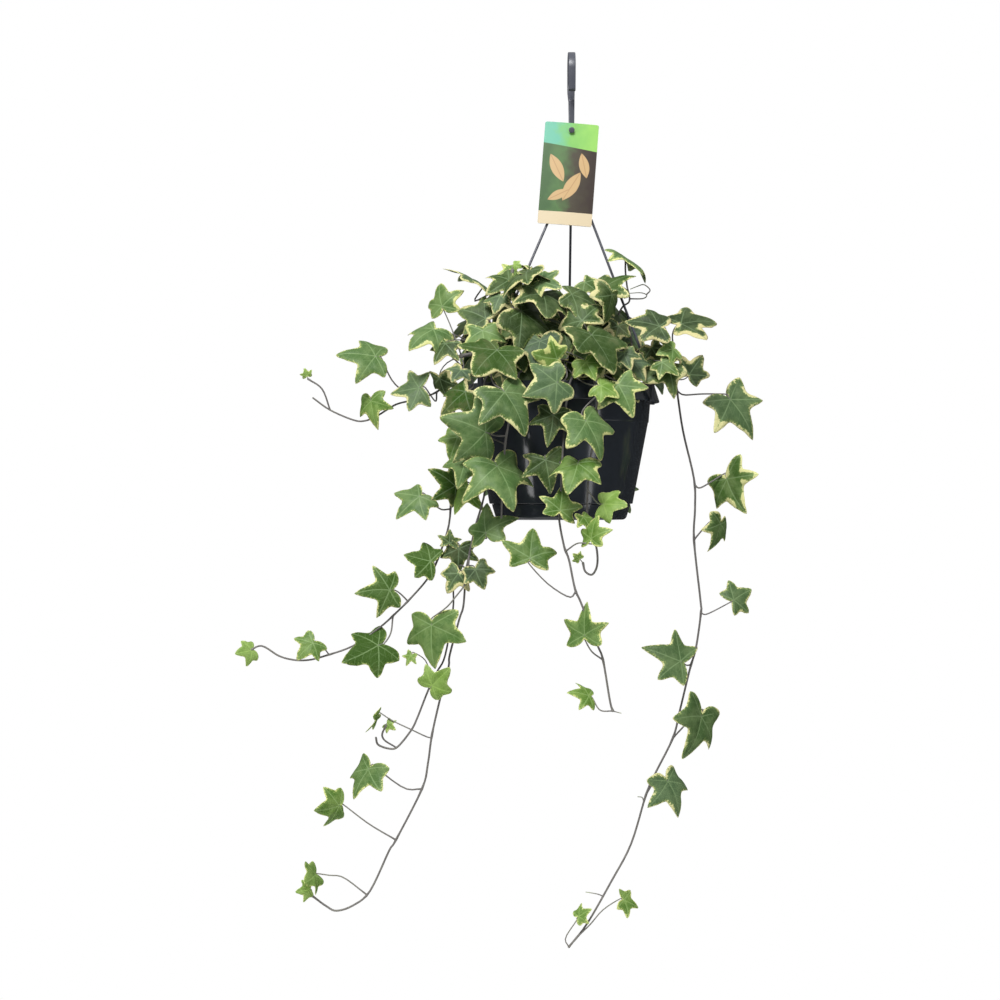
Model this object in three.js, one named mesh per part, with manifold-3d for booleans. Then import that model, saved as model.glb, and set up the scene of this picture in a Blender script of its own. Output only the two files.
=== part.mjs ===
// A potted variegated english ivy in a plastic hanging pot.
// Millimetres, +Z up, +Y away from the viewer. The origin is the inner crown of the hook,
// the point that hangs on a rail. All of it hangs down from there.

import * as THREE from 'three';
import { mergeVertices } from 'three/addons/utils/BufferGeometryUtils.js';
import Module from 'manifold-3d';

const wasm = await Module();
wasm.setup();

// Driving dimensions
const potX = -8;               // the pot's axis, beside the hook's
const rimTop = -250.6;
const rimDepth = 13.7;
const rimRadius = 75;          // outside, at the rim's lower edge
const rimTopRadius = 71.3;
const wall = 1.4;
const potFoot = -343.5;        // underside of the pot's floor
const saucerFoot = -353.4;     // underside of the saucer
const soilTop = -263;
const soilBottom = -341;
const gap = 0.35;              // between pieces that touch
const holeDepth = 20;          // how deep the stems stand in the soil
const holeSlack = 1.2;
const hubHeight = -84;
const armRadius = 1.1;
const armAngles = [217, 331, 84];
const bladeThickness = 0.7;
const stalkWidth = 1.1;        // of a leaf's stalk
const tendrilRadius = 0.75;
const smallest = 0.05;         // detail under this size is left out of the plants

// The places of leaves and stems are written as they appear from straight in front, in
// millimetres on the upright plane through the hook, with a depth as third number. A point
// slides along its line of sight to that depth, so its depth can change and its place in
// the front view can't.
const viewpoint = new THREE.Vector3(-54.6, -1650, -338.5);

function seen([across, up, depth]) {
  const scale = 1 + depth / -viewpoint.y;
  return new THREE.Vector3(
    viewpoint.x + (across - viewpoint.x) * scale,
    depth,
    viewpoint.z + (up - viewpoint.z) * scale,
  );
}

// Seeded draws, the same in each run
function draws(seed) {
  let state = seed;
  return () => {
    state = (state * 1664525 + 1013904223) % 4294967296;
    return state / 4294967296;
  };
}

function solidOf(geometry) {
  const bare = geometry.clone();
  bare.deleteAttribute('normal');
  bare.deleteAttribute('uv');
  const merged = mergeVertices(bare, 1e-4);
  return new wasm.Manifold(new wasm.Mesh({
    numProp: 3,
    vertProperties: new Float32Array(merged.attributes.position.array),
    triVerts: new Uint32Array(merged.index.array),
  }));
}

function geometryOf(solid) {
  const mesh = solid.getMesh();
  const geometry = new THREE.BufferGeometry();
  geometry.setAttribute('position', new THREE.BufferAttribute(mesh.vertProperties, 3));
  geometry.setIndex(new THREE.BufferAttribute(mesh.triVerts, 1));
  return geometry;
}

function polygon(radius, sides) {
  const shape = new THREE.Shape();
  for (let i = 0; i < sides; i += 1) {
    const angle = (2 * Math.PI * i) / sides;
    const x = radius * Math.cos(angle);
    const y = radius * Math.sin(angle);
    if (i === 0) shape.moveTo(x, y);
    else shape.lineTo(x, y);
  }
  shape.closePath();
  return shape;
}

// A stalk along a curve, which narrows evenly from its foot to its tip
function stalk(curve, footRadius, tipRadius, sides, steps) {
  const geometry = new THREE.ExtrudeGeometry(polygon(footRadius, sides), {
    steps,
    extrudePath: curve,
    bevelEnabled: false,
  });
  const rings = curve.getSpacedPoints(steps);
  const at = geometry.attributes.position;
  const point = new THREE.Vector3();
  for (let i = 0; i < at.count; i += 1) {
    point.fromBufferAttribute(at, i);
    let nearest = 0;
    rings.forEach((ring, k) => {
      const off = Math.abs(point.distanceTo(ring) - footRadius);
      const best = Math.abs(point.distanceTo(rings[nearest]) - footRadius);
      if (off < best - 1e-4) nearest = k;
    });
    const narrow = 1 + (tipRadius / footRadius - 1) * (nearest / steps);
    point.sub(rings[nearest]).multiplyScalar(narrow).add(rings[nearest]);
    at.setXYZ(i, point.x, point.y, point.z);
  }
  return solidOf(geometry);
}

// The ivy leaf: one side of its outline between tip and notch, along the midrib and across
// it, in leaf lengths
const halfOutline = [
  [0.4, 0.26],
  [0.42, 0.72],
  [0.06, 0.41],
  [-0.26, 0.53],
];
const sideLobe = 1;            // the point that the leaf's own draws move
const notch = -0.06;
const veinJunction = 0.03;

// How far the blade bends off its flat plane there, in leaf lengths
function bend(along, across, droop, fold) {
  return fold * Math.abs(across) - droop * along * Math.abs(along) - 0.22 * across * across;
}

// A leaf in one closed mesh. Its veins meet at start, its middle lobe points along direction
// and its upper side looks along face. Its stalk is a four-sided bar, which runs along route
// from the shoot to the notch between the two basal lobes.
function leafSolid({ start, direction, face, length }, route, shape) {
  const across = new THREE.Vector3().crossVectors(face, direction).normalize();
  const place = (a, b) => start.clone()
    .addScaledVector(direction, a * length)
    .addScaledVector(across, b * length)
    .addScaledVector(face, bend(a, b, shape.droop, shape.fold) * length);
  const side = (hand, grow) => halfOutline.map(([a, b], i) => {
    const size = i === sideLobe ? grow : 1;
    return place(a * size, hand * b * size * shape.width);
  });
  const barb = stalkWidth / 2 / length;
  const rim = [
    place(1, 0),
    ...side(1, shape.left),
    place(notch, barb),
    place(notch, -barb),
    ...side(-1, shape.right).reverse(),
  ];
  const middle = place(veinJunction, 0);
  const half = face.clone().multiplyScalar(bladeThickness / 2);
  const corners = [];
  const triangle = (...points) => points.forEach((p) => corners.push(p.x, p.y, p.z));
  const upper = (p) => p.clone().add(half);
  const lower = (p) => p.clone().sub(half);
  const notchLeft = halfOutline.length + 1;
  rim.forEach((p, i) => {
    const q = rim[(i + 1) % rim.length];
    triangle(upper(middle), upper(p), upper(q));
    triangle(lower(middle), lower(q), lower(p));
    if (i === notchLeft) return;
    triangle(upper(p), lower(p), lower(q));
    triangle(upper(p), lower(q), upper(q));
  });
  const [left, right] = [rim[notchLeft], rim[notchLeft + 1]];
  let ring = [upper(left), lower(left), lower(right), upper(right)];
  const wide = across.clone().multiplyScalar(stalkWidth / 2);
  const high = face.clone().multiplyScalar(stalkWidth / 2);
  let tangent = direction.clone();
  for (let k = route.steps - 1; k >= 0; k -= 1) {
    const centre = route.curve.getPoint(k / route.steps);
    const next = route.curve.getTangent(k / route.steps);
    const swing = new THREE.Quaternion().setFromUnitVectors(tangent, next);
    wide.applyQuaternion(swing);
    high.applyQuaternion(swing);
    tangent = next;
    const corner = (w, h) => centre.clone().addScaledVector(wide, w).addScaledVector(high, h);
    const further = [corner(1, 1), corner(1, -1), corner(-1, -1), corner(-1, 1)];
    for (let i = 0; i < 4; i += 1) {
      const j = (i + 1) % 4;
      triangle(ring[i], ring[j], further[j]);
      triangle(ring[i], further[j], further[i]);
    }
    ring = further;
  }
  triangle(ring[0], ring[1], ring[2]);
  triangle(ring[0], ring[2], ring[3]);
  const geometry = new THREE.BufferGeometry();
  geometry.setAttribute('position', new THREE.Float32BufferAttribute(corners, 3));
  return solidOf(geometry);
}

// The leaf's own draws, in this order
function leafShape(draw) {
  return {
    width: 0.94 + 0.16 * draw(),
    left: 0.92 + 0.16 * draw(),
    right: 0.92 + 0.16 * draw(),
    droop: 0.06 + 0.12 * draw(),
    fold: 0.02 + 0.14 * draw(),
  };
}

// One leaf of the lists below: where its veins meet, where its middle lobe points from
// there, how far the blade is rolled about that lobe, its age from 0 for a fresh one to 1,
// and, where it matters, the shoot and the place on it that its stalk leaves, or the
// points that the stalk passes.
function leaf(at, tip, roll, age, extra = {}) {
  return { at, tip, roll, age, ...extra };
}

// Direction, face and length of a leaf of the lists
function poseOf({ at, tip, roll }) {
  const start = seen(at);
  const end = seen([at[0] + tip[0], at[1] + tip[1], at[2] + tip[2]]);
  const direction = end.clone().sub(start);
  const length = direction.length();
  direction.normalize();
  const face = new THREE.Vector3(0, -1, 0);
  face.addScaledVector(direction, -face.dot(direction)).normalize();
  const across = new THREE.Vector3().crossVectors(face, direction);
  const turn = THREE.MathUtils.degToRad(roll);
  face.multiplyScalar(Math.cos(turn)).addScaledVector(across, Math.sin(turn));
  return { start, direction, face, length };
}

// The stalk's way from a point on a shoot to the leaf's notch: it sets out towards the blade
// and comes in along the middle lobe, from below
function stalkRoute(from, { start, direction, face, length }, passed) {
  const end = start.clone().addScaledVector(direction, notch * length);
  if (passed) {
    const last = end.clone().addScaledVector(direction, -2).addScaledVector(face, -1);
    const curve = routeCurve([from, ...passed.map(seen), last, end]);
    return { curve, steps: passed.length + 1 };
  }
  const reach = from.distanceTo(end) * 0.36;
  const back = end.clone()
    .addScaledVector(direction, -reach * 0.75)
    .addScaledVector(face, -reach * 0.6);
  const out = from.clone().lerp(back, 0.45);
  return { curve: new THREE.CubicBezierCurve3(from, out, back, end), steps: reach < 5 ? 1 : 2 };
}

// The point of these curves nearest to target and apart from the places already taken. The
// first curve of a plant starts in the soil, and nothing grows from that stretch.
const rootedPoints = 3;
const apart = 4.5;

function nearestOn(curves, target, taken = []) {
  let best = null;
  curves.forEach((curve) => {
    const parts = 6 * (curve.points.length - 1);
    const first = curve.rooted ? 6 * rootedPoints : 0;
    for (let k = first; k <= parts; k += 1) {
      const point = curve.getPoint(k / parts);
      const distance = point.distanceTo(target);
      const free = taken.every((place) => place.distanceTo(point) > apart);
      if (free && (best === null || distance < best.distance)) best = { point, distance };
    }
  });
  return best.point;
}

function routeCurve(points) {
  return new THREE.CatmullRomCurve3(points, false, 'catmullrom', 0.5);
}

// A plant node: its shoots, its bare tendrils and its leaves, joined in one body. The first
// shoot stands in the soil and the others grow from the nearest point of those before.
function plantSolid(plant, seed) {
  const draw = draws(seed);
  const rooted = [-holeDepth + 0.5, -6, 4, 11].map((up) => (
    new THREE.Vector3(potX + plant.foot[0], plant.foot[1], soilTop + up)));
  const curves = [];
  const pieces = [];
  plant.shoots.forEach((route, i) => {
    const before = i === 0 ? rooted : [nearestOn(curves, seen(route[0]))];
    const curve = routeCurve([...before, ...route.map(seen)]);
    curve.rooted = i === 0;
    curves.push(curve);
    const footRadius = plant.radius * (i === 0 ? 1 : 0.8);
    const steps = curve.points.length + 2;
    pieces.push(stalk(curve, footRadius, plant.tipRadius, 4, steps));
  });
  const wood = [...curves];
  (plant.tendrils ?? []).forEach((route) => {
    const curve = routeCurve([nearestOn(wood, seen(route[0])), ...route.map(seen)]);
    wood.push(curve);
    pieces.push(stalk(curve, tendrilRadius, tendrilRadius * 0.7, 4, 2 * curve.points.length));
  });
  const taken = [];
  plant.leaves.forEach((one) => {
    const pose = one.pose ?? poseOf(one);
    const shape = leafShape(draw);
    const own = one.shoot === undefined ? curves : [curves[one.shoot]];
    const from = one.on ? nearestOn(own, seen(one.on)) : nearestOn(own, pose.start, taken);
    taken.push(from);
    pieces.push(leafSolid(pose, stalkRoute(from, pose, one.via), shape));
  });
  const whole = wasm.Manifold.union(pieces).simplify(smallest);
  return whole.decompose().reduce((a, b) => (b.volume() > a.volume() ? b : a));
}

const crownFront = {
  foot: [0, -10],
  radius: 2.2,
  tipRadius: 1,
  shoots: [
    [[-8, -246, -12], [-12, -226, -36], [-13, -222, -56], [-12, -230, -72]],
    [[-30, -234, -28], [-52, -226, -42], [-72, -226, -46], [-90, -230, -42]],
    [[12, -228, -32], [24, -222, -50], [30, -232, -66]],
    [[-22, -214, -22], [-36, -192, -38], [-46, -176, -38], [-45, -163, -37]],
    [[-6, -212, -22], [-8, -192, -34]],
    [[10, -216, -16], [20, -196, -22], [26, -184, -26]],
  ],
  leaves: [
    leaf([-65, -200, -45], [-23, 10, 6], -28, 0.9),
    leaf([-39, -193.7, -62], [30.9, -21.5, 4.9], 48, 0.75),
    leaf([-21.8, -180.3, -57], [3.4, -18, -23.4], 26, 0.8),
    leaf([-24, -216.5, -70], [-4, -22, -16], -15, 1),
    leaf([-56.4, -223.5, -80], [-18.5, -18.9, -23.9], -20, 0.6),
    leaf([-68, -208.5, -66], [2, -20, -12], -5, 0.45),
    leaf([-70.7, -172.7, -26], [-26.4, 15, -4], -84, 0.8, { shoot: 3, via: [[-73.2, -186.4, -30]] }),
    leaf([-43.7, -159.1, -26], [6, -1, -3], 10, 0),
    leaf([-30, -163.5, -39], [28, -12, 2], 76, 0.8),
    leaf([-33, -163.5, -52], [-24, -13, -8], -76, 0.7),
    leaf([-44, -163, -14], [-14, -3, -4], -41, 0.3),
    leaf([-47, -170, -42], [-19, -9, -10], -33, 0.7),
    leaf([-54, -182, -48], [-6, -14, -8], -15, 0.6),
    leaf([-24, -171, -54], [16, -3, -12], 33, 0.6),
    leaf([-29, -166, -27], [-4, -8, -14], 10, 0.4),
    leaf([-0.6, -181.1, -54], [25.8, -7.3, 0.1], 47, 0.7),
    leaf([10, -172, -32], [12, -8, -4], 30, 0.7),
    leaf([8.4, -202, -66], [-11, 18.5, 8.4], 0, 0.65),
    leaf([14.9, -211.6, -80], [22.2, -25.2, -17], 50, 0.65),
    leaf([15.7, -225.4, -74], [7.6, -18.3, -14], 10, 0.6),
    leaf([40, -226, -66], [6, -13, -8], 10, 1),
    leaf([35.5, -249.8, -86], [12.2, -23, -12], 10, 0.5),
    leaf([11, -233, -88], [8, -14, -6], 15, 0.3),
    leaf([22, -251, -92], [16, -7, -4], 36, 0.25),
    leaf([31, -181, -50], [-4, -25, -9], 56, 0.9),
    leaf([31, -175, -27], [8, -3, -5], 20, 0.1),
    leaf([37.5, -178, -28], [4, -6, -3], 20, 0.2),
    leaf([23, -177.7, -31], [24, 17, 2], 52, 0.6),
    leaf([-10.3, -248.3, -98], [-26.5, -9.9, -6], -8, 0.6, { on: [-12, -222, -56] }),
    leaf([-10.3, -230.7, -86], [-22, 4, 2], 18, 0.35),
    leaf([-84, -238.6, -56], [-8, -9, -8], -20, 0.95),
    leaf([-80.6, -255.2, -70], [-21.8, -16.5, -5.2], -36, 1),
    leaf([-51.6, -255.2, -98], [21, -28, -14], 36, 0.55),
    leaf([-50, -240, -70], [-2, -9, -6], 0, 1),
    leaf([-96, -218.5, -47], [-10, -16, -6], -33, 0.9),
    leaf([-101, -245, -36], [6, -19, 4], -52, 1),
    leaf([-98.6, -191, -35], [-4.2, 19.9, 5.2], 23, 0.45, { on: [-86.7, -216, -42] }),
    leaf([-105, -207.8, -38], [-19.7, -10.7, -14.4], -40, 0.5),
  ],
};

const vineFrontLeft = {
  foot: [-14, -34],
  radius: 1.2,
  tipRadius: 0.7,
  shoots: [
    [[-38, -240, -64], [-42, -254, -76], [-48, -280, -77], [-51, -300, -77], [-53, -335, -76],
      [-53.5, -352, -75]],
  ],
  leaves: [
    leaf([-64.6, -287, -86], [-36, 14, -6], -10, 0.6),
    leaf([-86.7, -289.6, -72], [-7, -17.5, -4], -10, 0.5),
    leaf([-80.6, -308, -76], [-7.6, -22, -4], -10, 0.5),
    leaf([-57.3, -311.7, -85], [16.4, -32.9, -17.1], 36, 0.6),
  ],
};

const vineFront = {
  foot: [10, -36],
  radius: 1.2,
  tipRadius: 0.7,
  shoots: [
    [[13, -241, -73], [19, -255, -84], [19, -285, -84], [14, -310, -83], [12, -350, -84],
      [16, -363, -84], [19.5, -377.4, -84], [19.5, -388.9, -84], [15.7, -395.5, -84],
      [10.5, -393, -84], [8.8, -386.6, -84]],
  ],
  leaves: [
    leaf([10.7, -277.3, -98], [16.4, -29, -7.1], 33, 0.5, { on: [19, -258, -84] }),
    leaf([5, -309.8, -96], [-9.2, -21.8, -19.2], -24, 0.2),
    leaf([24.1, -341.5, -92], [19.1, 0, -10.4], 26, 0.1, { on: [11, -330, -84] }),
    leaf([8.8, -351, -92], [7.6, -10.7, -4], 38, 0.3),
    leaf([6, -383.4, -86], [-5, 4, -3], 0, 0.2),
  ],
};

const vineCentre = {
  foot: [-2, -30],
  radius: 1.2,
  tipRadius: 0.7,
  shoots: [
    [[2, -243, -56], [0, -246, -76], [-3, -256, -84], [-6, -290, -84], [-8, -330, -84],
      [-9.6, -350.7, -84], [-5.7, -373.6, -84], [-1.9, -384.3, -84], [2.7, -406.4, -84],
      [7.3, -417.1, -84], [19.5, -448.5, -82], [24.1, -460.7, -82], [29.4, -492, -80],
      [31.7, -499.7, -80]],
  ],
  tendrils: [
    [[34, -500.4, -80], [38, -501.4, -80]],
  ],
  leaves: [
    leaf([-14, -273, -88], [-5, -25, -8], -8, 0.95),
    leaf([-20, -307, -84], [5, -26, -6], 6, 0.9),
    leaf([-8.8, -346.9, -92], [3.8, 22.2, 8.2], -14, 0.6),
    leaf([15.2, -368.5, -102], [1.5, 20, 2], 46, 0.3,
      { on: [-4.2, -376.7, -84], via: [[5, -371.5, -95]] }),
    leaf([-31.6, -383.5, -90], [2.9, 25.4, 8.3], -5, 0.55,
      { on: [2.7, -409, -84], via: [[-2, -412.6, -85], [-18, -402.6, -86]] }),
    leaf([10.1, -442.4, -87], [-0.9, 26.6, -0.2], 33, 0.4,
      { on: [24.1, -460.7, -82], via: [[15.7, -454.5, -84]] }),
    leaf([13.6, -488.2, -84], [-16, 4.7, -7], -45, 0.3,
      { on: [31.7, -499.7, -80], via: [[21.8, -499, -82]] }),
  ],
};

const vineLongLeft = {
  foot: [-22, -22],
  radius: 1.2,
  tipRadius: 0.7,
  shoots: [
    [[-40, -240, -34], [-59, -240, -51], [-67, -252, -60], [-67, -290, -61], [-66, -330, -62],
      [-73.7, -359.8, -62], [-79.8, -388.9, -60], [-81, -397, -59], [-82.5, -419, -58],
      [-85.7, -429.6, -57], [-93, -456.9, -56], [-93.9, -466, -55], [-100.2, -489.7, -52],
      [-106.6, -518, -50], [-109.6, -539.4, -48], [-114.2, -559.2, -46], [-134.1, -598.2, -42],
      [-139.4, -606.6, -41], [-153.9, -637.2, -38], [-167, -648.3, -36], [-179.5, -652.3, -35],
      [-187.3, -648.8, -34], [-198, -641, -34]],
    [[-85.5, -389, -56], [-90, -404, -52], [-90.5, -422, -50], [-96.4, -456.9, -50], [-102.8, -470, -49],
      [-109.6, -484.2, -48], [-117.8, -505, -48], [-122.6, -514.6, -48], [-132.3, -526.6, -48],
      [-138.3, -528.6, -48], [-147.5, -525.6, -48], [-149.4, -520, -48]],
    [[-134.8, -527.1, -48], [-142.6, -522.2, -50], [-144.6, -517.4, -52], [-141.6, -510.6, -54]],
  ],
  leaves: [
    leaf([-65.5, -364.1, -74], [-2, 26.1, 10.8], 27, 0.6),
    leaf([-73.5, -391, -68], [7, -15.5, -4], 0, 1),
    leaf([-86, -394, -64], [-9.5, -15.5, -4], -10, 0.9),
    leaf([-106.8, -433, -64], [0.6, -36.1, -2.6], -26, 0.45,
      { on: [-77, -380, -61], via: [[-80, -400, -66], [-89, -413, -69], [-96, -421, -70]] }),
    leaf([-106.8, -480.8, -61], [14.4, 14.3, -3], 0, 0.1, { shoot: 1 }),
    leaf([-122.5, -456.9, -56], [-5, -8, -2], -36, 0.3,
      { shoot: 1, on: [-107, -480, -48], via: [[-111, -462, -52]] }),
    leaf([-140.6, -509.6, -54], [6.4, -5, -2], 0, 0.2, { shoot: 2 }),
    leaf([-148, -503.3, -55], [-6.9, -14.5, -8], 82, 0.35,
      { on: [-106.6, -518, -50], via: [[-109, -520, -50], [-122.6, -513.8, -55], [-137, -507, -54]] }),
    leaf([-154.6, -543.4, -48], [-14.7, -22.9, -5.7], -44, 0.5,
      { on: [-114.2, -560, -46], via: [[-128, -558.5, -46], [-149.4, -543, -47]] }),
    leaf([-176.9, -571.9, -44], [-18.5, -4.6, -14], 8, 0.4,
      { on: [-134.5, -599, -42], via: [[-154.7, -586, -43]] }),
    leaf([-195.6, -624.5, -40], [-6.5, -6, -17], 5, 0.25,
      { on: [-156.5, -638.2, -38], via: [[-174, -627, -38], [-185, -625.2, -39]] }),
    leaf([-200, -636, -36], [-11, -2, -6], -10, 0.1),
  ],
};

const vineLowerLeft = {
  foot: [-30, -8],
  radius: 1.2,
  tipRadius: 0.65,
  shoots: [
    [[-50, -240, -14], [-75.6, -242, -28], [-86, -254, -34], [-90, -275, -38], [-92, -310, -41],
      [-92.8, -351.4, -42], [-98.9, -375, -42], [-108, -395.8, -42], [-122.6, -413.3, -42],
      [-136.4, -427, -42], [-147, -436.2, -42], [-167, -450, -40], [-188.3, -457.6, -38],
      [-200.5, -460.7, -38], [-212, -460.7, -38], [-223.5, -457.6, -38], [-236.5, -450, -38],
      [-246, -453.6, -39]],
  ],
  leaves: [
    leaf([-88.2, -328.3, -48], [-19.3, 15.4, -10], -36, 1),
    leaf([-79.8, -328.5, -52], [-11.3, -21.5, -2], -39, 0.3),
    leaf([-86, -375, -50], [-2, -21, -2], -10, 1),
    leaf([-93.5, -371.5, -50], [1.5, 12.5, 4], -10, 0.9),
    leaf([-115.7, -335.4, -50], [-20, -16, -6], -33, 0.5,
      { on: [-92.1, -345.3, -42], via: [[-101, -345, -45]] }),
    leaf([-107.1, -385.4, -52], [-21.3, 6.8, -0.1], -31, 0.5),
    leaf([-138.1, -407.2, -50], [-26.7, -1.5, -8], -9, 0.55, { on: [-124, -415, -42] }),
    leaf([-146.9, -449.2, -50], [-29.3, -12.5, -8.6], -33, 0.55,
      { on: [-136.4, -427, -42], via: [[-138, -440, -46]] }),
    leaf([-197.3, -447.3, -46], [-12.7, -12.1, -7.3], -11, 0.4, { on: [-184, -456.3, -38] }),
    leaf([-243.7, -453.1, -39], [-13.4, -2.5, -8], -20, 0.1),
  ],
};

const vineUpperLeft = {
  foot: [-34, 10],
  radius: 1.2,
  tipRadius: 0.6,
  shoots: [
    [[-66, -243, 6], [-86, -243, 2], [-103, -256, -8], [-118, -261.5, -16], [-134, -265.5, -20],
      [-148, -274, -20], [-157.8, -278, -20], [-166.9, -277.3, -20], [-184.5, -269.7, -20],
      [-197.5, -260.5, -20]],
    [[-185, -268, -20], [-190.6, -253.6, -20], [-201.3, -246, -20]],
  ],
  leaves: [
    leaf([-149, -228.8, -28], [-30.8, 5.4, -6.3], -39, 0.5,
      { on: [-120, -262, -16], via: [[-136.4, -248, -22]] }),
    leaf([-153.3, -262.1, -26], [2.1, -23.1, -4.2], -30, 0.3, { on: [-138, -268, -20] }),
    leaf([-115.7, -252.6, -34], [-24.7, -3.4, 4], -28, 0.75,
      { on: [-103, -256, -8], via: [[-104, -263, -20]] }),
    leaf([-202, -243.5, -20], [-2, 6, -2], -10, 0.1, { shoot: 1 }),
  ],
};

const vineLongRight = {
  foot: [34, -4],
  radius: 1.25,
  tipRadius: 0.7,
  shoots: [
    [[48, -238, -6], [68, -239, -8], [79, -248, -8], [80.6, -255, -8], [85.2, -285.7, -8],
      [93.6, -322.4, -8], [94.4, -345, -8], [93.6, -369, -8], [98.6, -415.6, -7],
      [98.9, -424.8, -7], [95.1, -451.5, -6], [90.5, -467.6, -5], [82.9, -498.9, -4],
      [77.5, -520.3, -3], [63.8, -547.8, -2], [56.9, -563.8, -1], [45.5, -601.3, 1],
      [30.2, -630.3, 2], [11.8, -662.4, 3], [-2, -680, 3]],
  ],
  tendrils: [
    [[20, -639.6, 2], [11, -638, 2]],
    [[54, -565.8, -1], [50.6, -565.2, -1]],
  ],
  leaves: [
    leaf([120.8, -260.8, -16], [21.7, -29, -6.3], 23, 0.85,
      { on: [80.6, -255, -8], via: [[86, -258.2, -9], [99.7, -257.5, -12]] }),
    leaf([118.3, -321.6, -14], [12.8, -28, -14.5], -40, 0.6,
      { on: [94, -327, -8], via: [[98, -329.3, -9], [106.6, -324.7, -11]] }),
    leaf([114, -356, -12], [-4, -23.5, -4], 50, 0.7, { on: [93.6, -367, -8] }),
    leaf([123.6, -415.2, -10], [15, 8.9, 7.8], 7, 0.75,
      { on: [98.9, -424, -7], via: [[104, -425.5, -8]] }),
    leaf([84.2, -462.1, -16], [-27.4, 14.7, -6.6], -34, 0.7),
    leaf([99.4, -502.9, -14], [-7.7, -34.8, -15.5], 42, 0.8,
      { on: [77.5, -519, -3], via: [[88.2, -509, -8]] }),
    leaf([73.2, -552.4, -10], [13.8, -27.1, -4.5], 39, 0.75, { on: [57.5, -563, -1] }),
    leaf([39.8, -644.1, -6], [13.3, -5.3, 5.4], 40, 0.3,
      { on: [5, -671.5, 3], via: [[14.1, -663, 0], [24, -651.7, -3]] }),
    leaf([5.5, -656.9, -2], [9.9, 6.4, -4.1], 33, 0.2,
      { on: [-2, -679, 3], via: [[-4.5, -673, 2], [4.2, -659.3, 0]] }),
  ],
};

const vineRight = {
  foot: [30, -20],
  radius: 1.4,
  tipRadius: 0.8,
  shoots: [
    [[34, -238, -18], [54, -232, -22], [72, -228, -26], [84, -232, -32]],
    [[46, -220, -18], [44, -206, -18]],
  ],
  leaves: [
    leaf([68.2, -206, -52], [-27.4, 7.3, -0.5], -43, 0.9,
      { on: [76, -229, -28], via: [[74, -217, -40]] }),
    leaf([82.9, -204, -44], [29, 6.5, 3.1], 52, 0.95),
    leaf([78, -223, -53], [-13, -3, -5], -25, 0.4),
    leaf([73.7, -234.6, -48], [-20, -13.8, -6], -25, 0.8),
    leaf([69, -233, -56], [13.8, -9, -6], 20, 0.6),
    leaf([89.8, -243, -44], [10.7, 15.3, -5], 0, 1),
    leaf([44, -210, -16], [10, -14, -4], 15, 1),
    leaf([61, -222, -42], [8, -13, -5], 10, 1),
    leaf([47, -233, -55], [10, -14, -6], 10, 1),
    leaf([36, -205, -32], [-2, -15, -6], 10, 1),
  ],
};

const vineUpperRight = {
  foot: [24, 4],
  radius: 1.2,
  tipRadius: 0.6,
  shoots: [
    [[22, -235, -2], [30, -212, -6], [38, -192.4, -12], [44.3, -186.4, -12],
      [42.4, -174.8, -11], [41.2, -163.1, -11], [41.4, -156, -12]],
  ],
  tendrils: [
    [[54.6, -184.6, -12], [57.5, -182, -12], [53.1, -180.2, -12], [43.9, -180.6, -12]],
    [[60, -178, -12], [55.5, -174, -12], [51, -175, -12], [45, -177.4, -12]],
  ],
  leaves: [
    leaf([41.6, -153.2, -10], [15.7, -10.7, -22.9], 78, 0.5, { on: [41.4, -156, -12] }),
    leaf([30, -222, 6], [14, -13, -6], 20, 1),
    leaf([44, -214, 2], [15, -12, -6], 20, 1),
    leaf([24, -205, 4], [-8, -14, -6], 0, 1),
  ],
};

// Leaves at the back, by a rule: they stand on a half dome behind the hanger, a golden
// angle apart, each with its face outwards and its tip turned down
function backLeaves(count, seed) {
  const draw = draws(seed);
  const centre = new THREE.Vector3(-12, 6, -250);
  const reach = new THREE.Vector3(82, 72, 72);
  const golden = 0.618034;
  const lane = [1.1, 1.85];    // turns between which the hanger's third arm passes
  return Array.from({ length: count }, (_, i) => {
    const turn = Math.PI * (0.1 + 0.82 * ((i * golden) % 1));
    const lift = Math.asin(0.17 + (0.76 * (i + 0.5)) / count);
    const under = turn > lane[0] && turn < lane[1] ? 0.7 : 1;
    const out = new THREE.Vector3(
      Math.cos(lift) * Math.cos(turn),
      Math.cos(lift) * Math.sin(turn),
      Math.sin(lift),
    );
    const swell = under * (0.92 + 0.14 * draw());
    const start = centre.clone().add(out.clone().multiply(reach).multiplyScalar(swell));
    const direction = new THREE.Vector3(0.5 * draw() - 0.25, 0.4 * draw(), -0.9)
      .addScaledVector(out, 0.6);
    const face = out.clone().add(new THREE.Vector3(0.4 * draw() - 0.2, 0.2, 0.25));
    direction.normalize();
    face.addScaledVector(direction, -face.dot(direction)).normalize();
    const length = 24 + 9 * draw();
    return { pose: { start, direction, face, length }, age: 0.35 + 0.6 * draw() };
  });
}

const crownBack = {
  foot: [-2, 16],
  radius: 2.2,
  tipRadius: 1,
  shoots: [
    [[-10, -246, 18], [-10, -225, 32], [-12, -215, 48], [-12, -222, 62]],
    [[-30, -230, 24], [-50, -218, 34], [-62, -226, 44]],
    [[12, -228, 24], [32, -218, 32], [44, -226, 42]],
    [[-24, -212, 26], [-34, -196, 30]],
    [[0, -212, 26], [8, -196, 30]],
  ],
  leaves: backLeaves(18, 70),
};

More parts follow.
